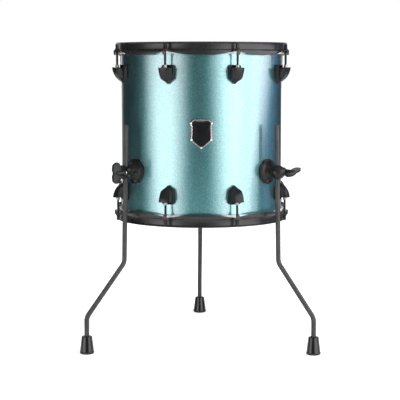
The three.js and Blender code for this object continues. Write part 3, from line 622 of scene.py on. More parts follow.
def plain_finish(name, dark, light, rough, grain, bump, metallic=0.0, coat=0.0, stretch=None, ior=1.5):
    """A finish with mottled colour, uneven gloss and a fine grain."""
    material, tree, shader, where = start_material(name, light, sum(rough) / 2, metallic)
    broad = noise_of(tree, where, MOTTLE_SCALE, 4)
    fine = noise_of(tree, where, grain, 5, stretch)
    tree.links.new(mixed(tree, spread(tree, broad, 0, 1), dark, light), shader.inputs["Base Color"])
    tree.links.new(spread(tree, fine, *rough), shader.inputs["Roughness"])
    bumped(tree, shader, fine, bump, GRAIN_DEPTH)
    set_inputs(shader, IOR=ior, Coat_Weight=coat, Coat_Roughness=0.12)
    return material


def sparkle_lacquer():
    """A metal-flake lacquer: teal between silver flakes under a clear coat."""
    material, tree, shader, where = start_material("sparkle_lacquer_finish", (0.12, 0.34, 0.35), 0.36, 1.0)
    flakes = node(tree, "ShaderNodeTexVoronoi", Scale=900.0)
    tree.links.new(where, flakes.inputs["Vector"])
    tone = node(tree, "ShaderNodeSeparateColor")
    tree.links.new(flakes.outputs["Color"], tone.inputs["Color"])
    clumps = noise_of(tree, where, 700, 3, roughness=0.7)
    silver = spread(tree, tone.outputs["Red"], 0.0, 0.2, 0.5, 1.0)
    teal = mixed(tree, spread(tree, clumps, 0, 1, 0.25, 0.75), (0.046, 0.180, 0.196), (0.106, 0.300, 0.315))
    tree.links.new(mixed(tree, silver, teal, (0.62, 0.86, 0.86)), shader.inputs["Base Color"])
    tree.links.new(spread(tree, clumps, 0.35, 0.40), shader.inputs["Roughness"])
    bumped(tree, shader, tone.outputs["Green"], 0.25, GRAIN_DEPTH)
    peel = noise_of(tree, where, 160, 2)
    bumped(tree, shader, peel, 0.05, GRAIN_DEPTH, "Coat Normal")
    set_inputs(shader, Coat_Weight=1.0, Coat_IOR=2.0, Coat_Roughness=0.07)
    return material


def maple():
    """The bare wood inside the shell, with its grain running round the drum."""
    material, tree, shader, where = start_material("maple_ply_finish", (0.62, 0.45, 0.27), 0.55, 0.0)
    grain = noise_of(tree, where, 30, 6, (1, 1, 14))
    pores = noise_of(tree, where, 240, 4, (1, 1, 6))
    tree.links.new(
        mixed(tree, spread(tree, grain, 0, 1), (0.50, 0.34, 0.19), (0.70, 0.53, 0.33)),
        shader.inputs["Base Color"])
    tree.links.new(spread(tree, pores, 0.45, 0.7), shader.inputs["Roughness"])
    bumped(tree, shader, pores, 0.2, 0.0003)
    return material


BLACK_METAL = plain_finish(
    "black_metal_finish", (0.011, 0.0115, 0.012), (0.021, 0.0215, 0.022), (0.16, 0.26), 900, 0.10, ior=1.27)
HOOP_BLACK = plain_finish(
    "hoop_black_finish", (0.015, 0.0155, 0.016), (0.024, 0.0245, 0.025), (0.20, 0.30), 700, 0.06, ior=1.4)
BLACK_TUBE = plain_finish(
    "black_tube_finish", (0.050, 0.0505, 0.051), (0.070, 0.0705, 0.071), (0.16, 0.24), 300, 0.06,
    stretch=(6, 6, 0.6), ior=1.21)
RUBBER = plain_finish(
    "rubber_finish", (0.006, 0.0065, 0.007), (0.012, 0.0125, 0.013), (0.07, 0.14), 1400, 0.04, ior=1.42)
FILM = plain_finish(
    "coated_film_finish", (0.78, 0.77, 0.74), (0.86, 0.855, 0.83), (0.55, 0.75), 1500, 0.35)
FLESH_METAL = plain_finish(
    "flesh_ring_finish", (0.84, 0.80, 0.79), (0.94, 0.92, 0.91), (0.3, 0.45), 500, 0.1)
BRIGHT_STEEL = plain_finish(
    "bright_steel_finish", (0.62, 0.62, 0.61), (0.80, 0.80, 0.79), (0.16, 0.30), 800, 0.08, metallic=1.0)
SATIN_NICKEL = plain_finish(
    "satin_nickel_finish", (0.22, 0.21, 0.205), (0.34, 0.33, 0.32), (0.3, 0.42), 900, 0.1, metallic=0.9)
BADGE_ENAMEL = plain_finish(
    "badge_enamel_finish", (0.006, 0.006, 0.007), (0.014, 0.014, 0.015), (0.10, 0.22), 500, 0.04, coat=0.8)
LACQUER = sparkle_lacquer()
MAPLE = maple()


# Shell, vent and badge

def build_shell():
    half = SHELL_DEPTH / 2
    drop = PEAK_RADIUS - INNER_RADIUS
    outer = SHELL_RADIUS
    bm = bmesh.new()
    upper = rounded([
        (outer, 0, 0), (outer, half - BEARING_SETBACK, BEARING_ROUND), (PEAK_RADIUS, half, BEARING_ROUND),
        (INNER_RADIUS, half - drop, BEARING_ROUND), (INNER_RADIUS, 0, 0)], closed=False)
    lower = [(radius, -height) for radius, height in reversed(upper)][1:-1]
    add_lathe(bm, upper + lower, SHELL_SIDES)
    for face in bm.faces:
        inside = face.calc_center_median().xy.length < outer - FIT_GAP
        face.material_index = 1 if inside else 0
    mesh = finished(bm, "drum_shell", [LACQUER, MAPLE])
    cutter = bmesh.new()
    path = [(0, DRILL_START), (VENT_HOLE, DRILL_START), (VENT_HOLE, DRILL_END), (0, DRILL_END)]
    add_lathe(cutter, path, RING_SIDES, closed=False, along="X")
    drill = finished(cutter, "drill", [MAPLE, MAPLE])
    drill.transform(Matrix.Rotation(math.radians(VENT_AZIMUTH - 90), 4, "Z"))
    mesh = carved(mesh, (drill, "DIFFERENCE"))
    mesh.name = "drum_shell"
    mesh.set_sharp_from_angle(angle=math.radians(SMOOTH_ANGLE))
    middle = Matrix.Translation((AXIS_X, AXIS_Y, MID_HEIGHT))
    stand("drum_shell", mesh, middle, "drum", "sparkle_lacquer", "shell")


def build_vent():
    bm = bmesh.new()
    add_lathe(bm, rounded(VENT_PROFILE), HUB_SIDES, along="X")
    mesh = finished(bm, "vent_eyelet", [BRIGHT_STEEL])
    stand("vent_eyelet", mesh, radial(VENT_AZIMUTH, MID_HEIGHT), "drum", "bright_steel", "vent_grommet")


def inset(outline, depth):
    """The outline moved inwards by a depth, with its corners mitred. It runs anticlockwise."""
    moved = []
    count = len(outline)
    for index in range(count):
        here = Vector(outline[index])
        arriving = (here - Vector(outline[index - 1])).normalized()
        leaving = (Vector(outline[(index + 1) % count]) - here).normalized()
        first = Vector((-arriving.y, arriving.x))
        second = Vector((-leaving.y, leaving.x))
        moved.append(tuple(here + (first + second) / (1 + first.dot(second)) * depth))
    return moved


def divided(outline, parts):
    """The outline with each side split into equal parts."""
    points = []
    for index, start in enumerate(outline):
        stop = outline[(index + 1) % len(outline)]
        for part in range(parts):
            share = part / parts
            points.append((start[0] + (stop[0] - start[0]) * share, start[1] + (stop[1] - start[1]) * share))
    return points


def shield_outline():
    left_shares = [(-across, up) for across, up in reversed(BADGE_SHARES[1:])]
    return [(across * BADGE_HALF_WIDTH, up * BADGE_HALF_HEIGHT) for across, up in BADGE_SHARES + left_shares]


def curved(point, height):
    """A point of the badge at a height over the shell, bent round the drum."""
    around, up = point
    angle = around / SHELL_RADIUS
    radius = SHELL_RADIUS + FIT_GAP + height
    return (radius * math.cos(angle), radius * math.sin(angle), up)


def build_badge():
    outline = shield_outline()
    bm = bmesh.new()
    rings = []
    for depth, height, _ in BADGE_LEVELS:
        edge = divided(inset(outline, depth), BADGE_SPLITS)
        rings.append([bm.verts.new(curved(point, height)) for point in edge])
    for (_, _, slot), ring, above in zip(BADGE_LEVELS, rings, rings[1:]):
        for i in range(len(ring)):
            j = (i + 1) % len(ring)
            bm.faces.new([ring[i], ring[j], above[j], above[i]]).material_index = slot
    field = bm.faces.new(rings[-1])
    field.material_index = 1
    bm.faces.new(rings[0]).material_index = 0
    bmesh.ops.triangulate(bm, faces=[field])
    for across, up in STUD_SHARES:
        spot = curved((across * BADGE_HALF_WIDTH, up * BADGE_HALF_HEIGHT), STUD_HEIGHT)
        bud = bmesh.ops.create_uvsphere(bm, u_segments=16, v_segments=8, radius=1.0)
        bmesh.ops.scale(bm, vec=STUD_SIZE, verts=bud["verts"])
        bmesh.ops.translate(bm, vec=spot, verts=bud["verts"])
    mesh = finished(bm, "shield_badge", [BRIGHT_STEEL, BADGE_ENAMEL], BADGE_ANGLE)
    height = MID_HEIGHT + BADGE_RISE * MM
    stand("shield_badge", mesh, radial(0, height), "drum", "bright_steel", "badge")


# Heads and hoops, with z = 0 in the plane of the bearing edge

def build_head_mesh():
    bm = bmesh.new()
    add_lathe(bm, FILM_UNDER, HEAD_SIDES, closed=False)
    add_lathe(bm, rounded(FILM_TOP, closed=False), HEAD_SIDES, closed=False)
    add_lathe(bm, rounded(FLESH_RING), HEAD_SIDES, slot=1)
    return finished(bm, "drum_head", [FILM, FLESH_METAL])


def skirt_edge(azimuth):
    """The height of the skirt's lower edge, which rises in a scallop under each ear."""
    turns = (azimuth - FIRST_LUG_AZIMUTH) / LUG_STEP
    distance = abs(turns - round(turns)) * LUG_STEP
    if distance >= SCALLOP_HALF_ANGLE:
        return SKIRT_BOTTOM
    return SKIRT_BOTTOM + SCALLOP_RISE * (1 - distance / SCALLOP_HALF_ANGLE) ** SCALLOP_POWER


def build_hoop_mesh():
    bm = bmesh.new()
    add_lathe(bm, rounded(HOOP_PROFILE), HOOP_SIDES)
    middle = (FLANGE_UNDER + SKIRT_BOTTOM) / 2
    for vert in bm.verts:
        if vert.co.z > middle:
            continue
        azimuth = math.degrees(math.atan2(vert.co.x, -vert.co.y))
        vert.co.z += skirt_edge(azimuth) - SKIRT_BOTTOM
    mesh = finished(bm, "hoop_ring", [HOOP_BLACK])
    ear = build_ear_mesh()
    ears = []
    for index in range(LUG_COUNT):
        turn = Matrix.Rotation(math.radians(FIRST_LUG_AZIMUTH + index * LUG_STEP - 90), 4, "Z")
        ears.append(baked(ear, turn))
    return shaded(merged(mesh, *ears))


def build_ear_mesh():
    """The flange's ear over a lug, with the lip that turns down from its tip."""
    bm = bmesh.new()
    add_prism(bm, rounded(mirrored(EAR_OUTLINE)), FLANGE_UNDER, FLANGE_TOP, "Z")
    bevel_sharp(bm, EAR_BEVEL, 3)
    plate = finished(bm, "ear_plate", [HOOP_BLACK])
    lip = bmesh.new()
    right = [(-across, up, turn) for across, up, turn in reversed(LIP_OUTLINE)]
    add_prism(lip, rounded(LIP_OUTLINE + right), EAR_TIP_RADIUS - HOOP_STEEL, EAR_TIP_RADIUS, "X")
    bevel_sharp(lip, EAR_BEVEL, 3)
    return merged(plate, finished(lip, "ear_lip", [HOOP_BLACK]))


def build_ends():
    head = build_head_mesh()
    hoop = build_hoop_mesh()
    lug = build_lug_mesh()
    rod = build_rod_mesh()
    for end, head_node, hoop_node in (
            ("top", "batter_head", "batter_hoop"), ("bottom", "resonant_head", "resonant_hoop")):
        middle = end_frame(end, 90)
        stand(end + "_drum_head", head, middle, "drum", "film", head_node)
        stand(end + "_rim", hoop, middle, "drum", "black_metal", hoop_node)
        for index in range(LUG_COUNT):
            azimuth = FIRST_LUG_AZIMUTH + index * LUG_STEP
            site = end_frame(end, azimuth)
            number = str(index + 1)
            stand(f"{end}_shield_lug_{number}", lug, site, "drum", "black_metal", f"lug_{end}_{number}")
            screw = site @ Matrix.Translation((ROD_CIRCLE * MM, 0, 0))
            stand(f"{end}_rod_{number}", rod, screw, f"tension_rod_{end}_{number}_body", "black_metal",
                  f"tension_rod_{end}_{number}")


# Lugs and tension rods, in a radial frame with z = 0 in the plane of the bearing edge

def lug_half_width(height):
    shoulder = LUG_TIP + LUG_SHOULDER_HEIGHT
    if height < shoulder:
        return LUG_SHOULDER_HALF * max(height - LUG_TIP, 0) / LUG_SHOULDER_HEIGHT
    share = (height - shoulder) / (LUG_TOP - shoulder)
    return LUG_SHOULDER_HALF + (LUG_HALF_WIDTH - LUG_SHOULDER_HALF) * share


def lug_row(bm, height, reach):
    """One row of the lug's skin, from its back on one side over the ridge to the other."""
    half = lug_half_width(height)
    drop = LUG_GABLE * max(0, 1 - (LUG_SHOULDER_TOP - height) / LUG_GABLE_LENGTH)
    crease = min(LUG_CREASE, reach * 0.5)
    front = SHELL_RADIUS + reach
    cheek = LUG_CHEEK_SHARE * half
    narrow = max(half - LUG_GROOVE, half * 0.5)
    full = LUG_BASE + LUG_GROOVE_END
    sides = [(LUG_FOOT, narrow), (LUG_BASE + LUG_GROOVE_START, narrow), (full, half - LUG_FLANK_INSET)]
    row = []
    for out, across in sides:
        row.append((SHELL_RADIUS + min(out, max(reach - crease, 0.5)), -across, -drop))
    for share in LUG_RIDGE_SHARES:
        bulge = LUG_BULGE * math.sin(math.pi * share) * min(1, reach / LUG_BULGE_REACH)
        row.append((front - crease * share ** LUG_CREASE_POWER + bulge, -cheek * share, -drop * share))
    other = [(x, -y, z) for x, y, z in reversed(row)]
    return [bm.verts.new((x, y, height + z)) for x, y, z in [*row, (front, 0, 0), *other]]


def build_lug_block():
    """The lug's rounded body, row by row from its shoulder to its tip."""
    bm = bmesh.new()
    rows = []
    for step in range(LUG_ROWS + 1):
        angle = step / LUG_ROWS * math.pi / 2 * LUG_SWEEP
        out = math.cos(angle) ** (2 / LUG_CURVE_POWER)
        down = math.sin(angle) ** (2 / LUG_CURVE_POWER)
        height = LUG_SHOULDER_TOP - down * (LUG_SHOULDER_TOP - LUG_TIP)
        rows.append(lug_row(bm, height, out * LUG_REACH))
    for row, below in zip(rows, rows[1:]):
        for i in range(len(row) - 1):
            bm.faces.new([row[i], row[i + 1], below[i + 1], below[i]])
        bm.faces.new([row[-1], row[0], below[0], below[-1]])
    bm.faces.new(rows[0])
    bm.faces.new(rows[-1])
    bevel_sharp(bm, LUG_BEVEL, 3, 30)
    return finished(bm, "shield_lug", [BLACK_METAL, SATIN_NICKEL])


def build_lug_brow():
    """The thicker edge over the lug's shoulder."""
    bm = bmesh.new()
    add_prism(bm, rounded(BROW_OUTLINE), SHELL_RADIUS - BROW_SINK, SHELL_RADIUS + BROW_DEPTH, "X")
    bevel_sharp(bm, BROW_BEVEL, 3, 40, off_shell)
    return finished(bm, "lug_brow", [BLACK_METAL])


def build_lug_base():
    """The plate between the lug and the shell."""
    left = [(-across, up, turn) for across, up, turn in reversed(BASE_OUTLINE[1:])]
    bm = bmesh.new()
    add_prism(bm, divided(rounded(BASE_OUTLINE + left), 2), SHELL_RADIUS, SHELL_RADIUS + LUG_BASE, "X")
    lay_on_shell([vert for vert in bm.verts if vert.co.x < SHELL_RADIUS + 1])
    bevel_sharp(bm, LUG_BEVEL, 3, 40, off_shell)
    return finished(bm, "lug_base", [BLACK_METAL])


def build_lug_nut():
    """The bright end of the swivel nut in the lug."""
    bm = bmesh.new()
    add_lathe(bm, rounded(NUT_PROFILE, closed=False), RING_SIDES, closed=False, slot=1)
    nut = finished(bm, "lug_nut", [BLACK_METAL, SATIN_NICKEL])
    nut.transform(Matrix.Translation((ROD_CIRCLE * MM, 0, 0)))
    return nut


def build_lug_mesh():
    return shaded(merged(build_lug_block(), build_lug_brow(), build_lug_base(), build_lug_nut()))


def build_rod_mesh():
    end = FLANGE_TOP - ROD_LENGTH
    half = ROD_HEAD_HALF
    threads = thread(end + THREAD_PITCH, FLANGE_TOP - THREAD_END, THREAD_PITCH, ROD_RADIUS, THREAD_ROOT)
    neck = threads[-2][1] + THREAD_PITCH + THREAD_RUNOUT
    tip = [(0, end), (ROD_TIP_RADIUS, end)]
    shank = [(ROD_RADIUS, neck), (ROD_RADIUS, ROD_TOP), (0, ROD_TOP)]
    bm = bmesh.new()
    add_lathe(bm, tip + threads + shank, PIN_SIDES, closed=False)
    add_lathe(bm, rounded(ROD_WASHER), RING_SIDES)
    add_lathe(bm, rounded(ROD_BOSS, closed=False), RING_SIDES, closed=False)
    start = len(bm.verts)
    square = [(-half, -half), (half, -half), (half, half), (-half, half)]
    add_prism(bm, square, ROD_HEAD_LOW, ROD_HEAD_HIGH, "Z")
    bm.verts.ensure_lookup_table()
    corners = set(bm.verts[start:])
    bevel_sharp(bm, ROD_HEAD_BEVEL, 3, 40, lambda edge: edge.verts[0] in corners)
    return finished(bm, "square_head_rod", [BLACK_METAL])


# Leg clamps, in a radial frame with z = 0 at the clamp

def ball(size, centre):
    bm = bmesh.new()
    made = bmesh.ops.create_uvsphere(bm, u_segments=64, v_segments=32, radius=1.0)
    bmesh.ops.scale(bm, vec=size, verts=made["verts"])
    bmesh.ops.translate(bm, vec=centre, verts=made["verts"])
    return finished(bm, "ball", [BLACK_METAL])


def block(low, high):
    bm = bmesh.new()
    outline = [(low[0], low[1]), (high[0], low[1]), (high[0], high[1]), (low[0], high[1])]
    add_prism(bm, outline, low[2], high[2], "Z")
    return finished(bm, "block", [BLACK_METAL])


def post(across, low, high, radius, along="Z", sides=TUBE_SIDES):
    """A round along Z at an (x, y) place, or along X at a (y, z) place."""
    bm = bmesh.new()
    add_lathe(bm, [(0, low), (radius, low), (radius, high), (0, high)], sides, closed=False, along=along)
    shift = (across[0], across[1], 0) if along == "Z" else (0, across[0], across[1])
    bmesh.ops.translate(bm, vec=shift, verts=bm.verts)
    return finished(bm, "post", [BLACK_METAL])


def leg_room():
    """The hole that the leg passes through, along its splayed axis."""
    bm = bmesh.new()
    radius, half = LEG_RADIUS + FIT_GAP, LEG_ROOM_HALF
    add_lathe(bm, [(0, -half), (radius, -half), (radius, half), (0, half)], HUB_SIDES, closed=False)
    lean = Matrix.Rotation(math.radians(-LEG_SPLAY), 4, "Y")
    bmesh.ops.transform(bm, matrix=Matrix.Translation((LEG_AXIS, 0, 0)) @ lean, verts=bm.verts)
    return finished(bm, "leg_room", [BLACK_METAL])


def build_gasket_mesh():
    bm = bmesh.new()
    rings = add_lathe(bm, GASKET_PROFILE, FLANGE_SIDES, closed=False, along="X")
    for ring in rings[:3]:
        lay_on_shell(ring)
    return finished(bm, "clamp_gasket", [RUBBER])


def build_bracket_mesh():
    """The flange, cone and forked neck, with the two pins across the fork."""
    bm = bmesh.new()
    add_lathe(bm, rounded(BRACKET_PROFILE, closed=False, steps=6), FLANGE_SIDES, closed=False, along="X")
    casting = finished(bm, "clamp_bracket", [BLACK_METAL])
    half = FORK_SLOT / 2
    far = NECK_END + FORK_REACH
    hinge_slot = block((HINGE_PIN[0] - HINGE_ROOM, -CUT_REACH, -half), (far, HINGE_PIN[1] + HINGE_ROOM, half))
    bolt_slot = block((BOLT_PIN[0] - BOLT_ROOM, BOLT_PIN[1] - BOLT_ROOM, -half), (far, CUT_REACH, half))
    mesh = carved(casting, (leg_room(), "DIFFERENCE"), (hinge_slot, "DIFFERENCE"), (bolt_slot, "DIFFERENCE"))
    mesh = softened(mesh, "clamp_bracket", 0.5, 2)
    end = FORK_SLOT + PIN_OVERHANG
    return merged(mesh, *[post(pin, -end, end, PIN_RADIUS, sides=PIN_SIDES) for pin in (HINGE_PIN, BOLT_PIN)])


def build_jaw_mesh():
    """The cap over the leg, with its knuckle, the nose for the bolt and the slot it swings out of."""
    egg = ball(JAW_SIZE, JAW_CENTRE)
    nose = post(BOLT_PIN, -NOSE_HALF, NOSE_HALF, NOSE_RADIUS)
    window = block(
        (JAW_FACE, BOLT_PIN[1] - NOSE_HALF_WIDTH, -NOSE_HALF),
        (JAW_FACE + NOSE_RADIUS, BOLT_PIN[1] + NOSE_HALF_WIDTH, NOSE_HALF))
    nose = carved(nose, (window, "INTERSECT"))
    tongue = block(
        (HINGE_PIN[0], HINGE_PIN[1] - KNUCKLE_RADIUS, -EYE_HALF),
        (JAW_FACE + KNUCKLE_RADIUS, HINGE_PIN[1] + KNUCKLE_RADIUS, EYE_HALF))
    outer_half = block((JAW_FACE, -JAW_REACH, -JAW_REACH), (LEG_AXIS + JAW_REACH, JAW_REACH, JAW_REACH))
    knuckle = post(HINGE_PIN, -EYE_HALF, EYE_HALF, KNUCKLE_RADIUS)
    pin_hole = post(HINGE_PIN, -JAW_REACH, JAW_REACH, PIN_RADIUS + FIT_GAP, sides=PIN_SIDES)
    counterbore = post(
        (BOLT_PIN[1], 0), BOLT_PIN[0] + NOSE_RADIUS, BOLT_PIN[0] + COUNTERBORE_END, COUNTERBORE_RADIUS, "X")
    bolt_slot = block(
        (JAW_FACE - KNUCKLE_RADIUS, BOLT_PIN[1] - BOLT_SLOT_HALF, -BOLT_SLOT_HALF),
        (LEG_AXIS + JAW_REACH, JAW_REACH, BOLT_SLOT_HALF))
    mesh = carved(
        egg, (outer_half, "INTERSECT"), (nose, "UNION"), (knuckle, "UNION"), (tongue, "UNION"),
        (pin_hole, "DIFFERENCE"), (counterbore, "DIFFERENCE"), (bolt_slot, "DIFFERENCE"),
        (leg_room(), "DIFFERENCE"))
    return softened(mesh, "clamp_cap", 0.6, 3)


def build_bolt_mesh():
    """The swing bolt along X from its eye, with its washer."""
    bm = bmesh.new()
    add_lathe(bm, rounded(BOLT_EYE), RING_SIDES)
    threads = thread(BOLT_THREAD_START, BOLT_THREAD_END, BOLT_PITCH, BOLT_CREST, BOLT_ROOT)
    add_lathe(bm, BOLT_SHANK + threads + BOLT_TIP, PIN_SIDES, closed=False, along="X")
    add_lathe(bm, rounded(BOLT_WASHER), TUBE_SIDES, along="X", slot=1)
    return finished(bm, "clamp_bolt", [BLACK_METAL, BRIGHT_STEEL])


def build_wing_mesh():
    """The wing nut along X from the bolt's pin, with its paddles up and down."""
    bm = bmesh.new()
    add_lathe(bm, rounded(HUB_PROFILE), HUB_SIDES, along="X")
    upper = [(WING_START + deep * WING_DEPTH, out * WING_HALF_SPAN, turn) for deep, out, turn in WING_CORNERS]
    plate = bmesh.new()
    add_prism(plate, rounded(mirrored(upper), steps=5), -WING_HALF_THICKNESS, WING_HALF_THICKNESS, "Y")
    bevel_sharp(plate, WING_BEVEL, 4, 50)
    paddles = finished(plate, "wing_paddles", [BLACK_METAL])
    return shaded(merged(finished(bm, "clamp_wing", [BLACK_METAL]), paddles))


# Legs and feet, in a radial frame with z = 0 on the floor

def leg_offset(height):
    return LEG_AXIS + (CLAMP_HEIGHT - height) * math.tan(math.radians(LEG_SPLAY))


def foot_place(place_name, ground):
    """Where the foot stands in the CAD, in the leg's radial frame."""
    low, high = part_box("rubber_foot_" + place_name)
    spot = ground.inverted() @ Vector(((low.x + high.x) / 2, (low.y + high.y) / 2, 0))
    return spot.x / MM, spot.y / MM


def bend_at(before, corner, after):
    """The points of the leg's bend at a corner of its path."""
    back = (before - corner).normalized()
    onward = (after - corner).normalized()
    half = back.angle(onward) / 2
    reach = LEG_BEND / math.tan(half)
    centre = corner + (back + onward).normalized() * (LEG_BEND / math.sin(half))
    start = corner + back * reach - centre
    stop = corner + onward * reach - centre
    return arc(centre, start, stop, LEG_BEND_STEPS)


def build_leg_mesh(foot_x, foot_y):
    top_height = CLAMP_HEIGHT + LEG_TOP_RISE
    top = Vector((leg_offset(top_height), 0, top_height))
    knee = Vector((leg_offset(KNEE_HEIGHT), 0, KNEE_HEIGHT))
    ankle = Vector((foot_x, foot_y, ANKLE_HEIGHT))
    end = Vector((foot_x, foot_y, LEG_END))
    path = [top, *bend_at(top, knee, ankle), *bend_at(knee, ankle, end), end]
    bm = bmesh.new()
    add_tube(bm, path, PLATED_RADIUS, TUBE_SIDES)
    return finished(bm, "bent_leg", [BLACK_TUBE])


def build_foot_mesh():
    bm = bmesh.new()
    add_lathe(bm, rounded(FOOT_PROFILE, closed=False), FOOT_SIDES, closed=False)
    nub = bmesh.ops.create_uvsphere(bm, u_segments=12, v_segments=8, radius=FOOT_NUB)
    bmesh.ops.translate(bm, vec=FOOT_NUB_PLACE, verts=nub["verts"])
    return finished(bm, "leg_foot", [RUBBER])


def build_legs():
    gasket = build_gasket_mesh()
    bracket = build_bracket_mesh()
    jaw = build_jaw_mesh()
    bolt = build_bolt_mesh()
    wing = build_wing_mesh()
    foot = build_foot_mesh()
    for place_name, azimuth, wing_turn in LEG_SITES:
        site = radial(azimuth, CLAMP_HEIGHT * MM)
        ground = radial(azimuth, 0)
        pin = site @ Matrix.Translation((BOLT_PIN[0] * MM, BOLT_PIN[1] * MM, 0))
        stand("clamp_gasket_" + place_name, gasket, site, "drum", "rubber", "bracket_gasket_" + place_name)
        stand("clamp_base_" + place_name, bracket, site, "drum", "black_metal", "leg_bracket_" + place_name)
        stand("clamp_cap_" + place_name, jaw, site, "drum", "black_metal", "clamp_jaw_" + place_name)
        stand("eye_bolt_" + place_name, bolt, pin, f"swing_bolt_{place_name}_body", "black_metal",
              "swing_bolt_" + place_name)
        spun = pin @ Matrix.Rotation(math.radians(wing_turn), 4, "X")
        stand("clamp_wing_" + place_name, wing, spun, f"wing_nut_{place_name}_body", "black_metal",
              "wing_nut_" + place_name)
        body = f"leg_{place_name}_body"
        foot_x, foot_y = foot_place(place_name, ground)
        leg = baked(build_leg_mesh(foot_x, foot_y), ground)
        stand("bent_leg_" + place_name, leg, Matrix.Identity(4), body, "black_tube", "leg_" + place_name)
        tip = baked(foot, ground @ Matrix.Translation((foot_x * MM, foot_y * MM, 0)))
        stand("leg_foot_" + place_name, tip, Matrix.Identity(4), body, "rubber", "rubber_foot_" + place_name)


# Studio

def background_share(tree):
    """1 for the rays that see the background: those of the camera, of gloss and of glass."""
    path = node(tree, "ShaderNodeLightPath")
    total = path.outputs["Is Camera Ray"]
    for ray in ("Is Glossy Ray", "Is Transmission Ray"):
        both = node(tree, "ShaderNodeMath", operation="ADD", use_clamp=True)
        tree.links.new(total, both.inputs[0])
        tree.links.new(path.outputs[ray], both.inputs[1])
        total = both.outputs[0]
    return total


def build_floor():
    mesh = bpy.data.meshes.new("studio_floor")
    bm = bmesh.new()
    bmesh.ops.create_grid(bm, x_segments=1, y_segments=1, size=FLOOR_SIZE)
    bm.to_mesh(mesh)
    bm.free()
    floor = linked("studio_floor", mesh)
    material = bpy.data.materials.new("studio_floor_finish")
    material.use_nodes = True
    tree = material.node_tree
    shader = tree.nodes["Principled BSDF"]
    set_inputs(shader, Base_Color=FLOOR_COLOUR, Roughness=1.0, Specular_IOR_Level=0.0)
    glow = node(tree, "ShaderNodeEmission")
    where = node(tree, "ShaderNodeTexCoord")
    away = node(tree, "ShaderNodeVectorMath", operation="LENGTH")
    tree.links.new(where.outputs["Object"], away.inputs[0])
    own = spread(tree, away.outputs["Value"], FLOOR_GLOW_NEAR, FLOOR_GLOW_FAR, FLOOR_NEAR, FLOOR_FAR)
    strength = node(tree, "ShaderNodeMath", operation="MULTIPLY")
    tree.links.new(background_share(tree), strength.inputs[0])
    tree.links.new(own, strength.inputs[1])
    tree.links.new(strength.outputs[0], glow.inputs["Strength"])
    total = node(tree, "ShaderNodeAddShader")
    tree.links.new(shader.outputs[0], total.inputs[0])
    tree.links.new(glow.outputs[0], total.inputs[1])
    tree.links.new(total.outputs[0], tree.nodes["Material Output"].inputs["Surface"])
    mesh.materials.append(material)


def build_world():
    world = bpy.data.worlds.new("studio_world")
    bpy.context.scene.world = world
    world.use_nodes = True
    tree = world.node_tree
    tree.nodes.clear()
    output = node(tree, "ShaderNodeOutputWorld")
    backdrop = node(tree, "ShaderNodeBackground", Color=WHITE, Strength=1.0)
    fill = node(tree, "ShaderNodeBackground", Color=WORLD_FILL_COLOUR, Strength=WORLD_FILL)
    mix = node(tree, "ShaderNodeMixShader")
    tree.links.new(background_share(tree), mix.inputs[0])
    tree.links.new(fill.outputs[0], mix.inputs[1])
    tree.links.new(backdrop.outputs[0], mix.inputs[2])
    tree.links.new(mix.outputs[0], output.inputs["Surface"])


def glow_material(name, strength):
    """A material that only gives light, with its emission node."""
    material = bpy.data.materials.new(name)
    material.use_nodes = True
    tree = material.node_tree
    tree.nodes.clear()
    output = node(tree, "ShaderNodeOutputMaterial")
    glow = node(tree, "ShaderNodeEmission", Color=WHITE, Strength=strength)
    tree.links.new(glow.outputs[0], output.inputs["Surface"])
    return material, tree, glow


def fade(share):
    share = min(max(share, 0), 1)
    return share * share * (3 - 2 * share)


def wall_colour(azimuth, height):
    """The light that reaches the drum from a place on the ring."""
    rise = min(max(height - LEAN_HEIGHT, -LEAN_REACH), LEAN_REACH)
    total = Vector(WALL_DIM)
    for (start, full, last, stop), (first_lean, last_lean), top, colour in SOFTBOXES:
        opening = fade((azimuth - start - first_lean * rise) / (full - start))
        closing = fade((stop + last_lean * rise - azimuth) / (stop - last))
        above = fade((top + BOX_TOP_FADE - height) / BOX_TOP_FADE)
        total += Vector(colour) * min(opening, closing) * above
    return total


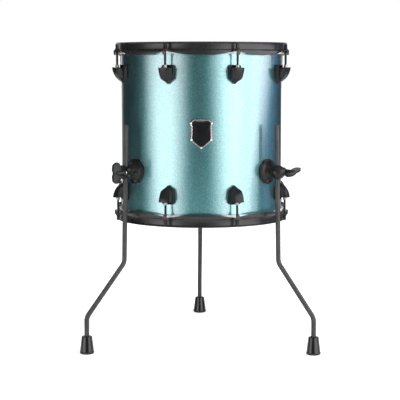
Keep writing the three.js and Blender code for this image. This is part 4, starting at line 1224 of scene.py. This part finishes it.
def build_wall():
    bm = bmesh.new()
    tint = bm.loops.layers.float_color.new("glow")
    columns = []
    for step in range(WALL_STEPS):
        azimuth = -180 + step * 360 / WALL_STEPS
        angle = math.radians(azimuth)
        x, y = AXIS_X + WALL_RADIUS * math.sin(angle), AXIS_Y - WALL_RADIUS * math.cos(angle)
        column = []
        for row in range(WALL_ROWS + 1):
            height = WALL_HIGH * row / WALL_ROWS
            column.append((bm.verts.new((x, y, height)), (*wall_colour(azimuth, height), 1)))
        columns.append(column)
    for left, right in zip(columns, columns[1:] + columns[:1]):
        for row in range(WALL_ROWS):
            corners = [left[row], right[row], right[row + 1], left[row + 1]]
            face = bm.faces.new([vert for vert, _ in corners])
            for loop, (_, colour) in zip(face.loops, corners):
                loop[tint] = colour
    mesh = bpy.data.meshes.new("studio_wall")
    bm.to_mesh(mesh)
    bm.free()
    wall = linked("studio_wall", mesh)
    material, tree, glow = glow_material("studio_wall_finish", 1.0)
    colour = node(tree, "ShaderNodeAttribute", attribute_name="glow")
    tree.links.new(colour.outputs["Color"], glow.inputs["Color"])
    mesh.materials.append(material)
    wall.visible_camera = False
    wall.visible_shadow = False


def build_ceiling():
    """A dark card over the ring, which only reflections show."""
    bm = bmesh.new()
    bmesh.ops.create_circle(bm, cap_ends=True, segments=CEILING_SIDES, radius=WALL_RADIUS)
    mesh = bpy.data.meshes.new("studio_ceiling")
    bm.to_mesh(mesh)
    bm.free()
    card = linked("studio_ceiling", mesh)
    card.location = (AXIS_X, AXIS_Y, WALL_HIGH)
    mesh.materials.append(glow_material("studio_ceiling_finish", CEILING_GLOW)[0])
    card.visible_camera = False
    card.visible_diffuse = False
    card.visible_transmission = False
    card.visible_shadow = False


def build_lamp():
    light = bpy.data.lights.new("softbox_top", "AREA")
    light.shape = "RECTANGLE"
    light.size = TOP_BOX_WIDTH
    light.size_y = TOP_BOX_LENGTH
    light.energy = TOP_BOX_POWER
    lamp = linked("softbox_top", light)
    spot = Vector((AXIS_X, AXIS_Y - TOP_BOX_DISTANCE, TOP_BOX_HEIGHT))
    aim = Vector((AXIS_X, AXIS_Y, MID_HEIGHT))
    lamp.location = spot
    lamp.rotation_euler = (aim - spot).to_track_quat("-Z", "Y").to_euler()
    lamp.visible_camera = False


def build_camera():
    data = bpy.data.cameras.new("photo_camera")
    data.sensor_width = CAMERA_SENSOR
    data.lens = CAMERA_LENS
    data.shift_x = CAMERA_SHIFT
    data.clip_start, data.clip_end = CAMERA_CLIP
    camera = linked("photo_camera", data)
    camera.location = (AXIS_X + CAMERA_SIDE, AXIS_Y - CAMERA_DISTANCE, CAMERA_HEIGHT)
    camera.rotation_euler = (math.radians(90 - CAMERA_PITCH), 0, 0)
    bpy.context.scene.camera = camera


build_shell()
build_vent()
build_badge()
build_ends()
build_legs()
build_floor()
build_world()
build_wall()
build_ceiling()
build_lamp()
build_camera()
bpy.context.scene.view_settings.view_transform = "Standard"
